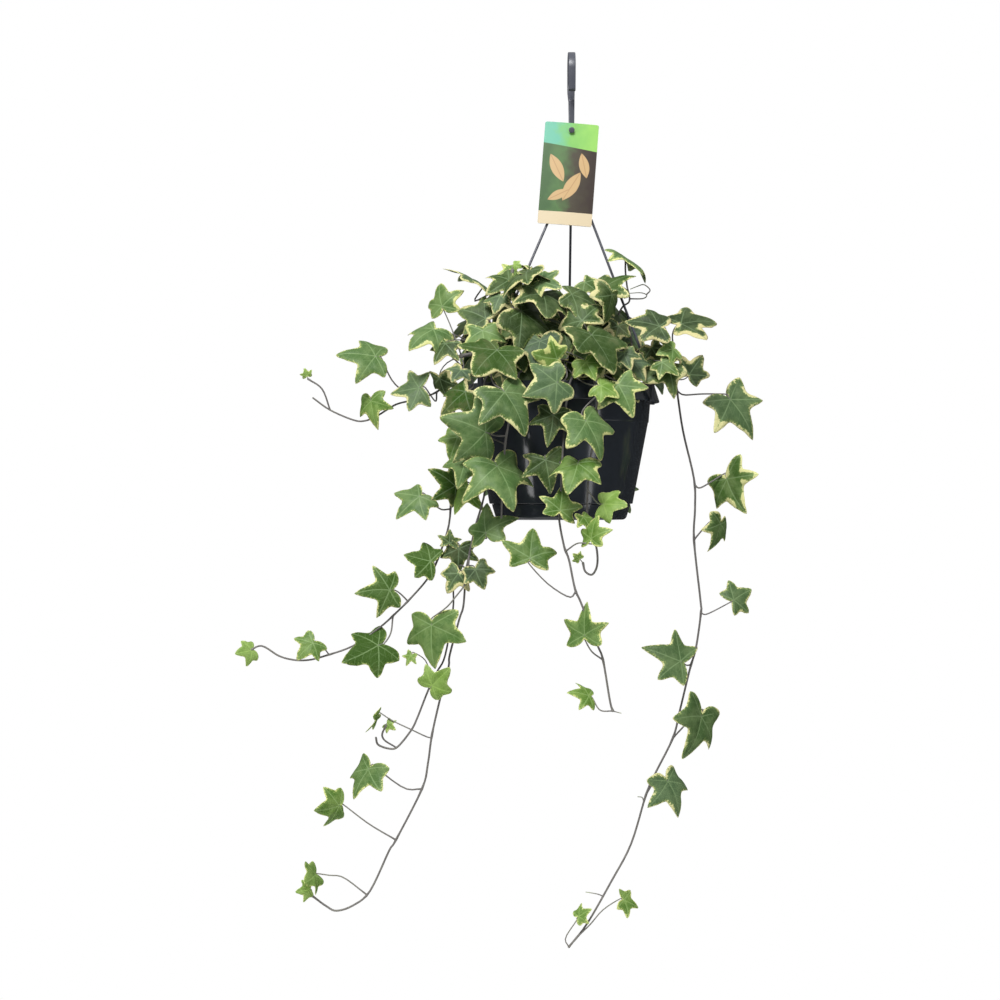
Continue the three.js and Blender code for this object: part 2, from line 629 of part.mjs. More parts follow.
// A short stem over the back of the rim: leaves at even steps, to both sides in turn
function backVine(foot, side, seed) {
  const draw = draws(seed);
  const top = potX + side * 34;
  const route = [
    [top, -248, 58], [top + side, -250, 74], [top + side * 2, -260, 83], [top + side * 2, -290, 85],
    [top + side, -320, 84], [top - side, -345, 83],
  ];
  const leaves = Array.from({ length: 5 }, (_, i) => {
    const hand = i % 2 === 0 ? 1 : -1;
    const start = new THREE.Vector3(top + hand * (9 + 3 * draw()), 93 + 3 * draw(), -262 - 17 * i);
    const direction = new THREE.Vector3(hand * (0.35 + 0.4 * draw()), 0.15, -0.8).normalize();
    const face = new THREE.Vector3(hand * 0.15, 1, 0.3 * draw());
    face.addScaledVector(direction, -face.dot(direction)).normalize();
    const length = 20 + 7 * draw();
    return { pose: { start, direction, face, length }, age: 0.3 + 0.5 * draw() };
  });
  return { foot, radius: 1.2, tipRadius: 0.7, shoots: [route], leaves };
}

const plants = {
  crown_front: crownFront,
  crown_back: crownBack,
  vine_front_left: vineFrontLeft,
  vine_front: vineFront,
  vine_centre: vineCentre,
  vine_long_left: vineLongLeft,
  vine_lower_left: vineLowerLeft,
  vine_upper_left: vineUpperLeft,
  vine_long_right: vineLongRight,
  vine_right: vineRight,
  vine_upper_right: vineUpperRight,
  vine_back_left: backVine([-20, 30], -1, 71),
  vine_back_right: backVine([22, 30], 1, 73),
};

// The pot, its saucer and the soil are turned about the pot's axis
function turned(profile, segments = 28) {
  const points = profile.map(([r, z]) => new THREE.Vector2(r, z));
  const geometry = new THREE.LatheGeometry(points, segments);
  geometry.rotateX(Math.PI / 2);
  geometry.translate(potX, 0, 0);
  return solidOf(geometry);
}

const drainRadius = 3;
const drainRing = 26;
const drainCount = 6;

function drilled(radius, x, y, low, high, sides = 8) {
  const geometry = new THREE.CylinderGeometry(radius, radius, high - low, sides);
  geometry.rotateX(Math.PI / 2);
  geometry.translate(x, y, (low + high) / 2);
  return solidOf(geometry);
}

function potSolid() {
  const rimLow = rimTop - rimDepth;
  const shell = turned([
    [0, potFoot],
    [50.4, potFoot],
    [51.4, potFoot + 1.8],
    [54.5, potFoot + 2.2],
    [66.9, rimLow - 14.6],
    [68.1, rimLow + 0.6],
    [rimRadius - wall, rimLow],
    [rimRadius, rimLow],
    [rimTopRadius, rimTop - 0.8],
    [rimTopRadius - 0.8, rimTop],
    [rimTopRadius - 2.4, rimTop],
    [68.1 - wall, rimLow + 4],
    [53.2, potFoot + 3.2],
    [0, potFoot + 1.6],
  ]);
  const drains = [];
  for (let i = 0; i < drainCount; i += 1) {
    const angle = (2 * Math.PI * i) / drainCount;
    const x = potX + drainRing * Math.cos(angle);
    const y = drainRing * Math.sin(angle);
    drains.push(drilled(drainRadius, x, y, potFoot - 1, potFoot + 3));
  }
  return shell.subtract(wasm.Manifold.union(drains));
}

// The saucer: a shallow tray that the pot's foot stands in, on three low ribs
function saucerSolid() {
  const tray = turned([
    [0, saucerFoot],
    [48.6, saucerFoot],
    [49.8, saucerFoot + 1.2],
    [52.9, potFoot + 2.2 - gap],
    [51.8, potFoot + 2.2 - gap],
    [48.6, saucerFoot + 1.6],
    [0, saucerFoot + 1.6],
  ]);
  const ribs = [90, 210, 330].map((angle) => {
    const rib = new THREE.BoxGeometry(26, 1.6, potFoot - gap - saucerFoot - 1);
    rib.translate(33, 0, (potFoot - gap + saucerFoot + 1) / 2);
    rib.rotateZ(THREE.MathUtils.degToRad(angle));
    rib.translate(potX, 0, 0);
    return solidOf(rib);
  });
  return wasm.Manifold.union([tray, ...ribs]);
}

function soilSolid() {
  const fill = turned([
    [0, soilBottom],
    [51.8, soilBottom + 1.4],
    [65 - gap, soilTop - 1.5],
    [60, soilTop + 0.6],
    [0, soilTop],
  ], 24);
  const holes = Object.values(plants).map(({ foot, radius }) => {
    const [x, y] = [potX + foot[0], foot[1]];
    return drilled(radius + holeSlack, x, y, soilTop - holeDepth, soilTop + 4, 6);
  });
  return fill.subtract(wasm.Manifold.union(holes));
}

// The hanger: hook, stem, hub, arms and rim clips, and the button for the tag
const hookInner = 11;
const hookThick = 3.4;
const hookWide = 5.6;
const stemWide = 3.4;
const tagPeg = -57;          // height of the tag's button

function hookSolid() {
  const outer = hookInner + hookThick;
  const shape = new THREE.Shape();
  shape.absarc(0, -hookInner, outer, Math.PI, 0, true);
  shape.lineTo(outer, -hookInner - 9);
  shape.quadraticCurveTo(outer, -hookInner - 17, stemWide / 2, -hookInner - 25);
  shape.lineTo(stemWide / 2, hubHeight);
  shape.lineTo(-stemWide / 2, hubHeight);
  shape.lineTo(-stemWide / 2, -hookInner - 22);
  shape.quadraticCurveTo(hookInner - 1, -hookInner - 17, hookInner, -hookInner - 8);
  shape.lineTo(hookInner, -hookInner);
  shape.absarc(0, -hookInner, hookInner, 0, Math.PI, false);
  shape.lineTo(-hookInner, -hookInner - 16);
  shape.lineTo(-hookInner - 1.6, -hookInner - 18);
  shape.lineTo(-outer, -hookInner - 16);
  shape.closePath();
  const settings = { depth: hookWide, bevelEnabled: false, curveSegments: 8 };
  const geometry = new THREE.ExtrudeGeometry(shape, settings);
  geometry.translate(0, 0, -hookWide / 2);
  geometry.rotateX(Math.PI / 2);
  geometry.rotateZ(Math.PI / 2);
  return solidOf(geometry);
}

function clipSolids(angle) {
  const radius = rimRadius + gap + 0.3;
  const rimLow = rimTop - rimDepth;
  const back = new THREE.BoxGeometry(1.8, 5, rimDepth + 8);
  back.translate(radius + 0.9, 0, (rimTop + rimLow) / 2 + 1);
  const toe = new THREE.BoxGeometry(4.6, 5, 1.8);
  toe.translate(radius - 0.5, 0, rimLow - gap - 1.3);
  return [back, toe].map((box) => {
    box.rotateZ(angle);
    box.translate(potX, 0, 0);
    return solidOf(box);
  });
}

function hangerSolid() {
  const hub = new THREE.LatheGeometry([
    [0, hubHeight - 6], [2.4, hubHeight - 6], [3.4, hubHeight - 3], [3.4, hubHeight + 2],
    [2.2, hubHeight + 5], [0, hubHeight + 5],
  ].map(([r, z]) => new THREE.Vector2(r, z)), 12);
  hub.rotateX(Math.PI / 2);
  const peg = new THREE.CylinderGeometry(1.3, 1.3, 5.4, 8);
  peg.translate(0, -3.4, tagPeg);
  const button = new THREE.CylinderGeometry(2.3, 1.6, 1.3, 8);
  button.translate(0, -6.5, tagPeg);
  const pieces = [hookSolid(), solidOf(hub), solidOf(peg), solidOf(button)];
  armAngles.forEach((degrees) => {
    const angle = THREE.MathUtils.degToRad(degrees);
    const reach = rimRadius + gap + 1.2;
    const end = new THREE.Vector3(potX + reach * Math.cos(angle), reach * Math.sin(angle), rimTop + 2);
    const start = new THREE.Vector3(0, 0, hubHeight - 1);
    const bow = start.clone().lerp(end, 0.5).add(new THREE.Vector3(0, 0, 0.4));
    const arm = new THREE.CatmullRomCurve3([start, bow, end]);
    pieces.push(stalk(arm, armRadius, armRadius, 6, 3), ...clipSolids(angle));
  });
  return wasm.Manifold.union(pieces);
}

// The tag: a card with round corners that hangs by its hole on the button
const tagWide = 41;
const tagHigh = 80.3;
const tagAbove = 5.8;          // of the top edge above the hole's middle
const tagThick = 0.8;
const tagCorner = 2;
const tagHole = 1.9;
const tagTilt = THREE.MathUtils.degToRad(4.5);
const tagLean = THREE.MathUtils.degToRad(9);     // it lies on the two front arms
const tagBack = -4;

function tagGeometry() {
  const [half, top, low] = [tagWide / 2, tagAbove, tagAbove - tagHigh];
  const shape = new THREE.Shape();
  shape.moveTo(-half + tagCorner, low);
  shape.absarc(half - tagCorner, low + tagCorner, tagCorner, -Math.PI / 2, 0, false);
  shape.absarc(half - tagCorner, top - tagCorner, tagCorner, 0, Math.PI / 2, false);
  shape.absarc(-half + tagCorner, top - tagCorner, tagCorner, Math.PI / 2, Math.PI, false);
  shape.absarc(-half + tagCorner, low + tagCorner, tagCorner, Math.PI, Math.PI * 1.5, false);
  const hole = new THREE.Path();
  hole.absarc(0, 0, tagHole, 0, Math.PI * 2, true);
  shape.holes.push(hole);
  const settings = { depth: tagThick, bevelEnabled: false, curveSegments: 3 };
  const geometry = new THREE.ExtrudeGeometry(shape, settings);
  geometry.rotateX(Math.PI / 2);
  return geometry;
}

// The scene
const finishes = {
  darkPlastic: { color: 0x2a2d32, roughness: 0.42, metalness: 0 },
  hangerPlastic: { color: 0x33363d, roughness: 0.5, metalness: 0 },
  soil: { color: 0x2b211a, roughness: 0.95, metalness: 0 },
  card: { color: 0x6b7a3c, roughness: 0.35, metalness: 0 },
  leaf: { color: 0x5f8a55, roughness: 0.55, metalness: 0 },
  freshLeaf: { color: 0x7fae3a, roughness: 0.45, metalness: 0 },
};

const group = new THREE.Group();

function add(name, geometry, finish) {
  const mesh = new THREE.Mesh(geometry, new THREE.MeshStandardMaterial(finishes[finish]));
  mesh.name = name;
  group.add(mesh);
  return mesh;
}

add('pot', geometryOf(potSolid()), 'darkPlastic');
add('saucer', geometryOf(saucerSolid()), 'darkPlastic');
add('soil', geometryOf(soilSolid()), 'soil');
add('hanger', geometryOf(hangerSolid()), 'hangerPlastic');

const tag = add('tag', tagGeometry(), 'card');
tag.position.set(0, tagBack, tagPeg);
tag.rotation.set(-tagLean, tagTilt, 0);

Object.entries(plants).forEach(([name, plant], i) => {
  add(name, geometryOf(plantSolid(plant, 11 + i)), i % 2 === 0 ? 'leaf' : 'freshLeaf');
});

export default group;
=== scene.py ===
import math
import random
from functools import partial

import bpy
import numpy as np
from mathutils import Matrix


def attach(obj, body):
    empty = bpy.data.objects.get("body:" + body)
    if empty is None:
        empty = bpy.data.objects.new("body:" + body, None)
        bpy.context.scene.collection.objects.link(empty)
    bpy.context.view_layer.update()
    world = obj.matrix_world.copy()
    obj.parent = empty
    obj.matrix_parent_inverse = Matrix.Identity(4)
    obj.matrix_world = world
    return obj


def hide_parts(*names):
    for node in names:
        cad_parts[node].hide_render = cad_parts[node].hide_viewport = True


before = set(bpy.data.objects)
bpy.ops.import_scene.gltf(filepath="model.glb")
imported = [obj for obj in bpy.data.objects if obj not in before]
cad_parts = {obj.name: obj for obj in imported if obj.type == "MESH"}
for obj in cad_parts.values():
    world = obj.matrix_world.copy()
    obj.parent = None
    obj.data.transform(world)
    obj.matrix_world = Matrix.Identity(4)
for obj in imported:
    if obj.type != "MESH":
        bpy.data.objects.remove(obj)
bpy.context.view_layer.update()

# Potted variegated ivy in a hanging pot. The lists below are in millimetres, as on the real
# thing, and meshes are written in metres.
mm = 0.001

potX = -8.0                  # the pot's axis stands beside the hook's
rimTop = -250.6
rimLow = rimTop - 13.7
potFoot = -343.5
saucerFoot = -353.4
soilTop = -263.0
hubHeight = -84.0


# Camera, as the photograph was taken: level, 1.65 m in front of the hook

cameraView = {
    "place": (-0.0546, -1.65, -0.3385),
    "turn": (90, 0, 0),
    "lens": 77.75,
    "sensor": 36.0,
}


def placeCamera(view):
    camera = bpy.data.objects.new("camera", bpy.data.cameras.new("camera"))
    camera.data.lens = view["lens"]
    camera.data.sensor_width = view["sensor"]
    camera.location = view["place"]
    camera.rotation_euler = [math.radians(angle) for angle in view["turn"]]
    bpy.context.scene.collection.objects.link(camera)
    bpy.context.scene.camera = camera


placeCamera(cameraView)
print("camera set")


# Small helpers

def linear(code):                     # an sRGB hex colour as the linear values that nodes take
    parts = [int(code[i:i + 2], 16) / 255 for i in (1, 3, 5)]
    return tuple(p / 12.92 if p <= 0.04045 else ((p + 0.055) / 1.055) ** 2.4 for p in parts) + (1.0,)


def socketOf(sockets, key):           # by number, or the first usable one of that name
    if isinstance(key, int):
        return sockets[key]
    return next(s for s in sockets if s.name == key and s.enabled)


def addNode(tree, kind, settings=None, links=None):
    node = tree.nodes.new("ShaderNode" + kind)
    for key, value in (settings or {}).items():
        if key == "stops":
            ramp = node.color_ramp
            while len(ramp.elements) < len(value):
                ramp.elements.new(0.5)
            for element, (place, colour) in zip(ramp.elements, value):
                element.position = place
                element.color = colour
        elif isinstance(key, str) and hasattr(node, key):
            setattr(node, key, value)
        else:
            socketOf(node.inputs, key).default_value = value
    for key, source in (links or {}).items():
        if isinstance(source, bpy.types.Node):
            source = next(s for s in source.outputs if s.enabled)
        tree.links.new(source, socketOf(node.inputs, key))
    return node


def newMaterial(name):
    material = bpy.data.materials.new(name)
    material.use_nodes = True
    material.node_tree.nodes.clear()
    return material, partial(addNode, material.node_tree)


def span(low, high, start=0.0, end=1.0, smooth=False):    # settings that map one range to another
    settings = {"From Min": low, "From Max": high, "To Min": start, "To Max": end}
    return settings | {"interpolation_type": "SMOOTHSTEP"} if smooth else settings


def layered(add, under, layers):      # lays each colour over the ones below, through its mask
    for mask, over in layers:
        settings, links = {"data_type": "RGBA"}, {}
        for key, value in (("Factor", mask), ("A", under), ("B", over)):
            if isinstance(value, str):
                settings[key] = linear(value)
            elif isinstance(value, float):
                settings[key] = value
            else:
                links[key] = value
        under = add("Mix", settings, links)
    return under


# Gathers points, faces and point values of many small shapes, for one mesh
class Heap:
    def __init__(self, *valueNames):
        self.points, self.faces, self.slots, self.places = [], [], [], []
        self.values = {name: [] for name in valueNames}
        self.count = 0

    def add(self, points, faces, places=None, slot=0, **values):
        points = np.asarray(points, float)
        self.points.append(points)
        self.faces.extend([tuple(i + self.count for i in face) for face in faces])
        self.slots.extend([slot] * len(faces))
        if places is not None:        # a flat place for each corner of each face
            self.places.append(np.asarray(places, float))
        for name, value in values.items():
            self.values[name].append(np.broadcast_to(np.asarray(value, float), (len(points), 3)))
        self.count += len(points)


def makePiece(name, heap, materials, node, smooth=True):
    mesh = bpy.data.meshes.new(name)
    mesh.from_pydata((np.concatenate(heap.points) * mm).tolist(), [], heap.faces)
    for valueName, rows in heap.values.items():
        layer = mesh.attributes.new(valueName, "FLOAT_VECTOR", "POINT")
        layer.data.foreach_set("vector", np.concatenate(rows).astype(np.float32).ravel())
    if heap.places:
        flat = mesh.uv_layers.new(name="OFBake")
        flat.data.foreach_set("uv", np.concatenate(heap.places).astype(np.float32).ravel())
    mesh.polygons.foreach_set("material_index", heap.slots)
    mesh.polygons.foreach_set("use_smooth", [smooth] * len(heap.faces))
    for material in materials:
        mesh.materials.append(material)
    mesh.update()
    piece = bpy.data.objects.new(name, mesh)
    bpy.context.scene.collection.objects.link(piece)
    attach(piece, "root")
    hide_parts(node)
    return piece


def latheShape(profile, segments):    # a closed turned shape, its profile from axis to axis
    points = [(0.0, 0.0, profile[0][1])]
    for radius, height in profile[1:-1]:
        points += [polar(2 * math.pi * k / segments, radius, height) for k in range(segments)]
    points.append((0.0, 0.0, profile[-1][1]))
    last = len(points) - 1
    rows = len(profile) - 2
    faces = []
    for k in range(segments):
        after = (k + 1) % segments
        faces.append((0, 1 + after, 1 + k))
        for row in range(rows - 1):
            low, high = 1 + row * segments, 1 + (row + 1) * segments
            faces.append((low + k, low + after, high + after, high + k))
        top = 1 + (rows - 1) * segments
        faces.append((top + k, top + after, last))
    return np.array(points), faces


def bendOf(a, b, c, steps):           # points on the way from a to c that is drawn towards b
    a, b, c = (np.array(p, float) for p in (a, b, c))
    shares = [k / steps for k in range(steps + 1)]
    return [tuple((1 - t) ** 2 * a + 2 * t * (1 - t) * b + t ** 2 * c) for t in shares]


def roundedProfile(corners, steps=5):  # each corner (radius, height, rounding) becomes an arc
    line = []
    for i, (radius, height, rounding) in enumerate(corners):
        here = np.array((radius, height))
        if rounding == 0 or i in (0, len(corners) - 1):
            line.append(tuple(here))
            continue
        before = np.array(corners[i - 1][:2]) - here
        after = np.array(corners[i + 1][:2]) - here
        cut = min(rounding, 0.45 * np.linalg.norm(before), 0.45 * np.linalg.norm(after))
        start = here + before / np.linalg.norm(before) * cut
        line += bendOf(start, here, here + after / np.linalg.norm(after) * cut, steps)
    return line


def drumShape(radius, low, high, sides):      # a plain upright cylinder
    return latheShape([(0, low), (radius, low), (radius, high), (0, high)], sides)


def toFront(points):                  # what stood upright now points to the front
    return np.column_stack([points[:, 0], -points[:, 2], points[:, 1]])


def unit(vector):
    return vector / np.linalg.norm(vector)


def polar(angle, radius=1.0, height=0.0):     # a point at that angle round the upright axis
    return np.array((radius * math.cos(angle), radius * math.sin(angle), height))


# A round rod along a path, with rounded ends. Its values are the length so far, the way
# round and the share of the whole length.
def sweepRod(path, radii, sides, flatten=1.0):
    path = np.asarray(path, float)
    steps = np.linalg.norm(np.diff(path, axis=0), axis=1)
    along = np.concatenate([[0], np.cumsum(steps)])
    tangents = np.gradient(path, axis=0)
    side = unit(np.cross(tangents[0], (0.3, 0.9, 0.2)))
    rings, sizes, lengths = [], [], []
    for k, (centre, tangent) in enumerate(zip(path, tangents)):
        tangent = unit(tangent)
        side = unit(side - tangent * side.dot(tangent))
        other = np.cross(tangent, side)
        if k == 0:
            ends = [(-0.75, 0.45), (-0.45, 0.82), (0.0, 1.0)]
        elif k == len(path) - 1:
            ends = [(0.0, 1.0), (0.45, 0.82), (0.75, 0.45)]
        else:
            ends = [(0.0, 1.0)]
        for shift, size in ends:
            rings.append((centre + tangent * shift * radii[k], side, other))
            sizes.append(size * radii[k])
            lengths.append(along[k])
    points, values = [], []
    for (centre, side, other), size, length in zip(rings, sizes, lengths):
        for j in range(sides):
            angle = 2 * math.pi * j / sides
            points.append(centre + size * (math.cos(angle) * side + flatten * math.sin(angle) * other))
            values.append((length, size * angle, length / along[-1]))
    faces = [tuple(reversed(range(sides)))]
    for row in range(len(rings) - 1):
        for j in range(sides):
            k = (j + 1) % sides
            faces.append((row * sides + j, row * sides + k, (row + 1) * sides + k, (row + 1) * sides + j))
    top = (len(rings) - 1) * sides
    faces.append(tuple(top + j for j in range(sides)))
    return np.array(points), faces, np.array(values)


def pointNormals(points, faces):
    corners = np.array([face[:3] for face in faces])
    a, b, c = (points[corners[:, i]] for i in range(3))
    across = np.cross(b - a, c - a)
    total = np.zeros_like(points)
    for i in range(3):
        np.add.at(total, corners[:, i], across)
    return total / np.maximum(np.linalg.norm(total, axis=1, keepdims=True), 1e-12)


# Studio: a plain pale floor well below the plant, a soft white overhead light, and two tall
# soft boxes that draw the two upright highlights on the pot

studio = {
    "floorHeight": -0.95,
    "floorRadius": 0.75,
    "floorSides": 96,
    "floorColour": "#f6f6f4",
    "horizonLight": 0.04,
    "skyLight": 0.5,
    "boxWide": 0.40,
    "boxHigh": 2.6,
    "boxDistance": 2.3,
    "boxHeight": -0.2,       # of its middle
    "boxAngles": (-51, 44),
    "boxPower": (16, 14),
    "topAngle": -14,
    "topDistance": 1.7,
    "topSize": (1.1, 0.8),
    "topPower": 72,
    "aimHeight": -0.30,
}


def addFloor():
    sides = studio["floorSides"]
    ring = [polar(2 * math.pi * k / sides, studio["floorRadius"], studio["floorHeight"])
            for k in range(sides)]
    mesh = bpy.data.meshes.new("studioFloor")
    mesh.from_pydata(ring, [], [tuple(range(sides))])
    material, add = newMaterial("paintedStudioFloor")   # matt white paint
    shader = add("BsdfPrincipled", {"Base Color": linear(studio["floorColour"]), "Roughness": 0.9})
    add("OutputMaterial", links={"Surface": shader})
    mesh.materials.append(material)
    floor = bpy.data.objects.new("studioFloor", mesh)
    bpy.context.scene.collection.objects.link(floor)


def addSoftBox(name, angle, distance, height, size, power):     # turned to face the plant
    light = bpy.data.lights.new(name, "AREA")
    light.shape = "RECTANGLE"
    light.size, light.size_y = size
    light.energy = power
    box = bpy.data.objects.new(name, light)
    turn = math.radians(angle)
    box.location = (distance * math.sin(turn), -distance * math.cos(turn), height)
    aim = -box.location.copy()
    aim.z = studio["aimHeight"] - height
    box.rotation_euler = aim.to_track_quat("-Z", "Y").to_euler()
    bpy.context.scene.collection.objects.link(box)


def lightSky():                       # white to the eye, brightest overhead, dim at the horizon
    world = bpy.data.worlds.new("studioSky")
    bpy.context.scene.world = world
    world.use_nodes = True
    world.node_tree.nodes.clear()
    add = partial(addNode, world.node_tree)
    direction = add("TexCoord").outputs["Generated"]
    up = add("SeparateXYZ", links={"Vector": direction}).outputs["Z"]
    rise = span(0.02, 0.75, studio["horizonLight"], studio["skyLight"], True)
    soft = add("Background", links={"Strength": add("MapRange", rise, {"Value": up})})
    plain = add("Background", {"Strength": 1.0})
    for background in (soft, plain):
        background.inputs["Color"].default_value = (1, 1, 1, 1)
    seenByCamera = add("LightPath").outputs["Is Camera Ray"]
    both = add("MixShader", links={0: seenByCamera, 1: soft, 2: plain})
    add("OutputWorld", links={"Surface": both})


addFloor()
lightSky()
boxSize = (studio["boxWide"], studio["boxHigh"])
for side, angle, power in zip(("Left", "Right"), studio["boxAngles"], studio["boxPower"]):
    addSoftBox("tallSoftBox" + side, angle, studio["boxDistance"], studio["boxHeight"], boxSize, power)
addSoftBox("topSoftBox", studio["topAngle"], studio["topDistance"], studio["topDistance"],
           studio["topSize"], studio["topPower"])
bpy.context.scene.view_settings.view_transform = "Standard"
print("studio ready")


# Ivy leaf, a living blade under a thin wax skin: satin, mottled green and grey-green with a
# cream margin. Fresh leaves are bright green and shinier, old ones dull and dark.

leafFinish = {
    "body": [(0.0, "#7d9f45"), (0.3, "#587c2c"), (0.55, "#466726"), (1.0, "#293a16")],
    "patch": [(0.0, "#94b262"), (0.3, "#7c9a4a"), (0.55, "#6a8449"), (1.0, "#4a5a36")],
    "bloom": "#67806a",      # the grey-green bloom on some leaves
    "deep": "#2f4f08",
    "cream": [(0.0, "#c3d488"), (0.35, "#d3d888"), (0.7, "#dfdc9f"), (1.0, "#d2ca92")],
    "vein": [(0.0, "#a3c463"), (0.5, "#94b078"), (1.0, "#7c936c")],
    "halo": "#94ab5c",
    "under": "#8fa886",
    "patchSize": 13.0,       # mm across a grey-green patch
    "fleckSize": 2.6,
    "tint": "#6f6a4c",
    "bloomMost": 0.42,
    "driftShift": (140.0, 60.0, 9.0),
    "driftScale": 0.085,     # per mm, how often the margin widens
    "jagScale": 0.75,        # per mm, how often its inner edge steps in and out
    "marginWide": 0.4,       # mm, its usual width
    "marginSpread": 4.2,
    "veinWide": 0.12,
    "sideVeinEvery": 6.5,
    "cellSize": 1.5,         # mm, the net of fine veins, a little coarser than the real one
}


def ramp(*stops):                     # the settings of a colour ramp
    return {"stops": [(place, linear(code)) for place, code in stops]}


def leafMaterial(name, underside):
    material, add = newMaterial(name)
    look = leafFinish
    plane, sheet, tone = (add("Attribute", {"attribute_name": value}).outputs["Vector"]
                          for value in ("leafPlane", "leafSheet", "leafTone"))
    along, off, edge = add("SeparateXYZ", links={0: sheet}).outputs
    age, cream, hue = add("SeparateXYZ", links={0: tone}).outputs
    big = add("TexNoise", {"Scale": 1 / look["patchSize"], "Detail": 2.0, "Roughness": 0.55},
              {"Vector": plane})
    fleck = add("TexNoise", {"Scale": 1 / look["fleckSize"], "Detail": 3.0, "Roughness": 0.6},
                {"Vector": plane})
    mottle = add("Math", {"operation": "MULTIPLY_ADD", 1: 0.3}, {0: fleck, 2: big})
    patch = add("MapRange", span(0.5, 0.82, smooth=True), {"Value": mottle})
    bloom = add("MapRange", span(0.1, 0.45, look["bloomMost"], 0.0), {"Value": hue})
    bloom = add("Math", {"operation": "MULTIPLY"}, {0: bloom, 1: age})
    deep = add("MapRange", span(0.8, 1.0, 0.0, 0.9), {"Value": hue})
    # the margin: its inner edge is jagged and it widens in places
    jag = add("TexNoise", {"Scale": look["jagScale"], "Detail": 1.0}, {"Vector": plane})
    aside = add("VectorMath", {1: look["driftShift"]}, {0: plane})
    drift = add("TexNoise", {"Scale": look["driftScale"], "Detail": 1.0}, {"Vector": aside})
    spread = add("MapRange", span(0.48, 0.75, 0.0, look["marginSpread"]), {"Value": drift})
    spread = add("Math", {"operation": "MULTIPLY"}, {0: spread, 1: cream})
    jagged = add("MapRange", span(0.3, 0.75, -0.55, 1.15), {"Value": jag})
    bare = add("Math", {"operation": "MULTIPLY_ADD", 1: 0.6, 2: -0.5}, {0: cream})
    width = add("Math", {"operation": "ADD"}, {0: spread, 1: jagged})
    width = add("Math", {"operation": "ADD"}, {0: width, 1: bare})
    inside = add("Math", {"operation": "SUBTRACT"}, {0: edge, 1: width})
    wide = look["marginWide"]
    halo = add("MapRange", span(wide, wide + 1.7, 0.45, 0.0, True), {"Value": inside})
    margin = add("MapRange", span(wide - 0.2, wide + 0.3, 1.0, 0.0, True), {"Value": inside})
    # veins: the five main ones, side veins that leave them forwards, and the fine net
    thin = look["veinWide"]
    main = add("MapRange", span(thin, thin + 0.55, 0.55, 0.0, True), {"Value": off})
    bent = add("Math", {"operation": "MULTIPLY_ADD", 1: 2.4}, {0: big, 2: along})
    lean = add("Math", {"operation": "MULTIPLY_ADD", 1: -0.85}, {0: off, 2: bent})
    nextLine = add("Math", {"operation": "PINGPONG", 1: look["sideVeinEvery"] / 2}, {0: lean})
    side = add("MapRange", span(0.08, 0.45, 0.28, 0.0, True), {"Value": nextLine})
    fade = add("MapRange", span(1.0, 9.0, 1.0, 0.15), {"Value": off})
    side = add("Math", {"operation": "MULTIPLY"}, {0: side, 1: fade})
    veins = add("Math", {"operation": "MAXIMUM"}, {0: main, 1: side})
    net = add("TexVoronoi", {"feature": "DISTANCE_TO_EDGE", "Scale": 1 / look["cellSize"]},
              {"Vector": plane})
    net = add("MapRange", span(0.0, 0.14, 0.09, 0.0), {"Value": net})
    veins = add("Math", {"operation": "MAXIMUM"}, {0: veins, 1: net})
    # a warm brownish tint on some of the older leaves
    tint = add("Math", {"operation": "MULTIPLY"}, {0: age, 1: hue})
    tint = add("Math", {"operation": "MULTIPLY"}, {0: tint, 1: patch})
    tint = add("MapRange", span(0.45, 0.85, 0.0, 0.25), {"Value": tint})
    body, grey, pale, line = (add("ValToRGB", ramp(*look[part]), {0: age})
                              for part in ("body", "patch", "cream", "vein"))
    layers = [(patch, grey), (bloom, look["bloom"]), (deep, look["deep"]), (halo, look["halo"]),
              (margin, pale), (veins, line), (tint, look["tint"])]
    if underside:
        layers.append((0.6, look["under"]))
    colour = layered(add, body, layers)
    relief = add("Math", {"operation": "MULTIPLY", 1: 1.0 if underside else -0.7}, {0: veins})
    relief = add("Math", {"operation": "MULTIPLY_ADD", 1: 0.5}, {0: fleck, 2: relief})
    bump = add("Bump", {"Strength": 0.5, "Distance": 0.00025}, {"Height": relief})
    skin = add("BsdfPrincipled", {"IOR": 1.42, "Specular IOR Level": 0.3, "Roughness": 0.62},
               {"Base Color": colour, "Normal": bump})
    if not underside:                 # its wax shines unevenly, and least on old or deep green ones
        dull = add("MapRange", span(0.3, 0.7, 0.34, 0.5), {"Value": fleck})
        dull = add("Math", {"operation": "MULTIPLY_ADD", 1: 0.1}, {0: age, 2: dull})
        dull = add("Math", {"operation": "MULTIPLY_ADD", 1: 0.3}, {0: deep, 2: dull})
        material.node_tree.links.new(dull.outputs[0], skin.inputs["Roughness"])
    glow = add("BsdfTranslucent", links={"Color": colour, "Normal": bump})
    both = add("MixShader", {0: 0.12}, {1: skin, 2: glow})
    add("OutputMaterial", links={"Surface": both})
    return material


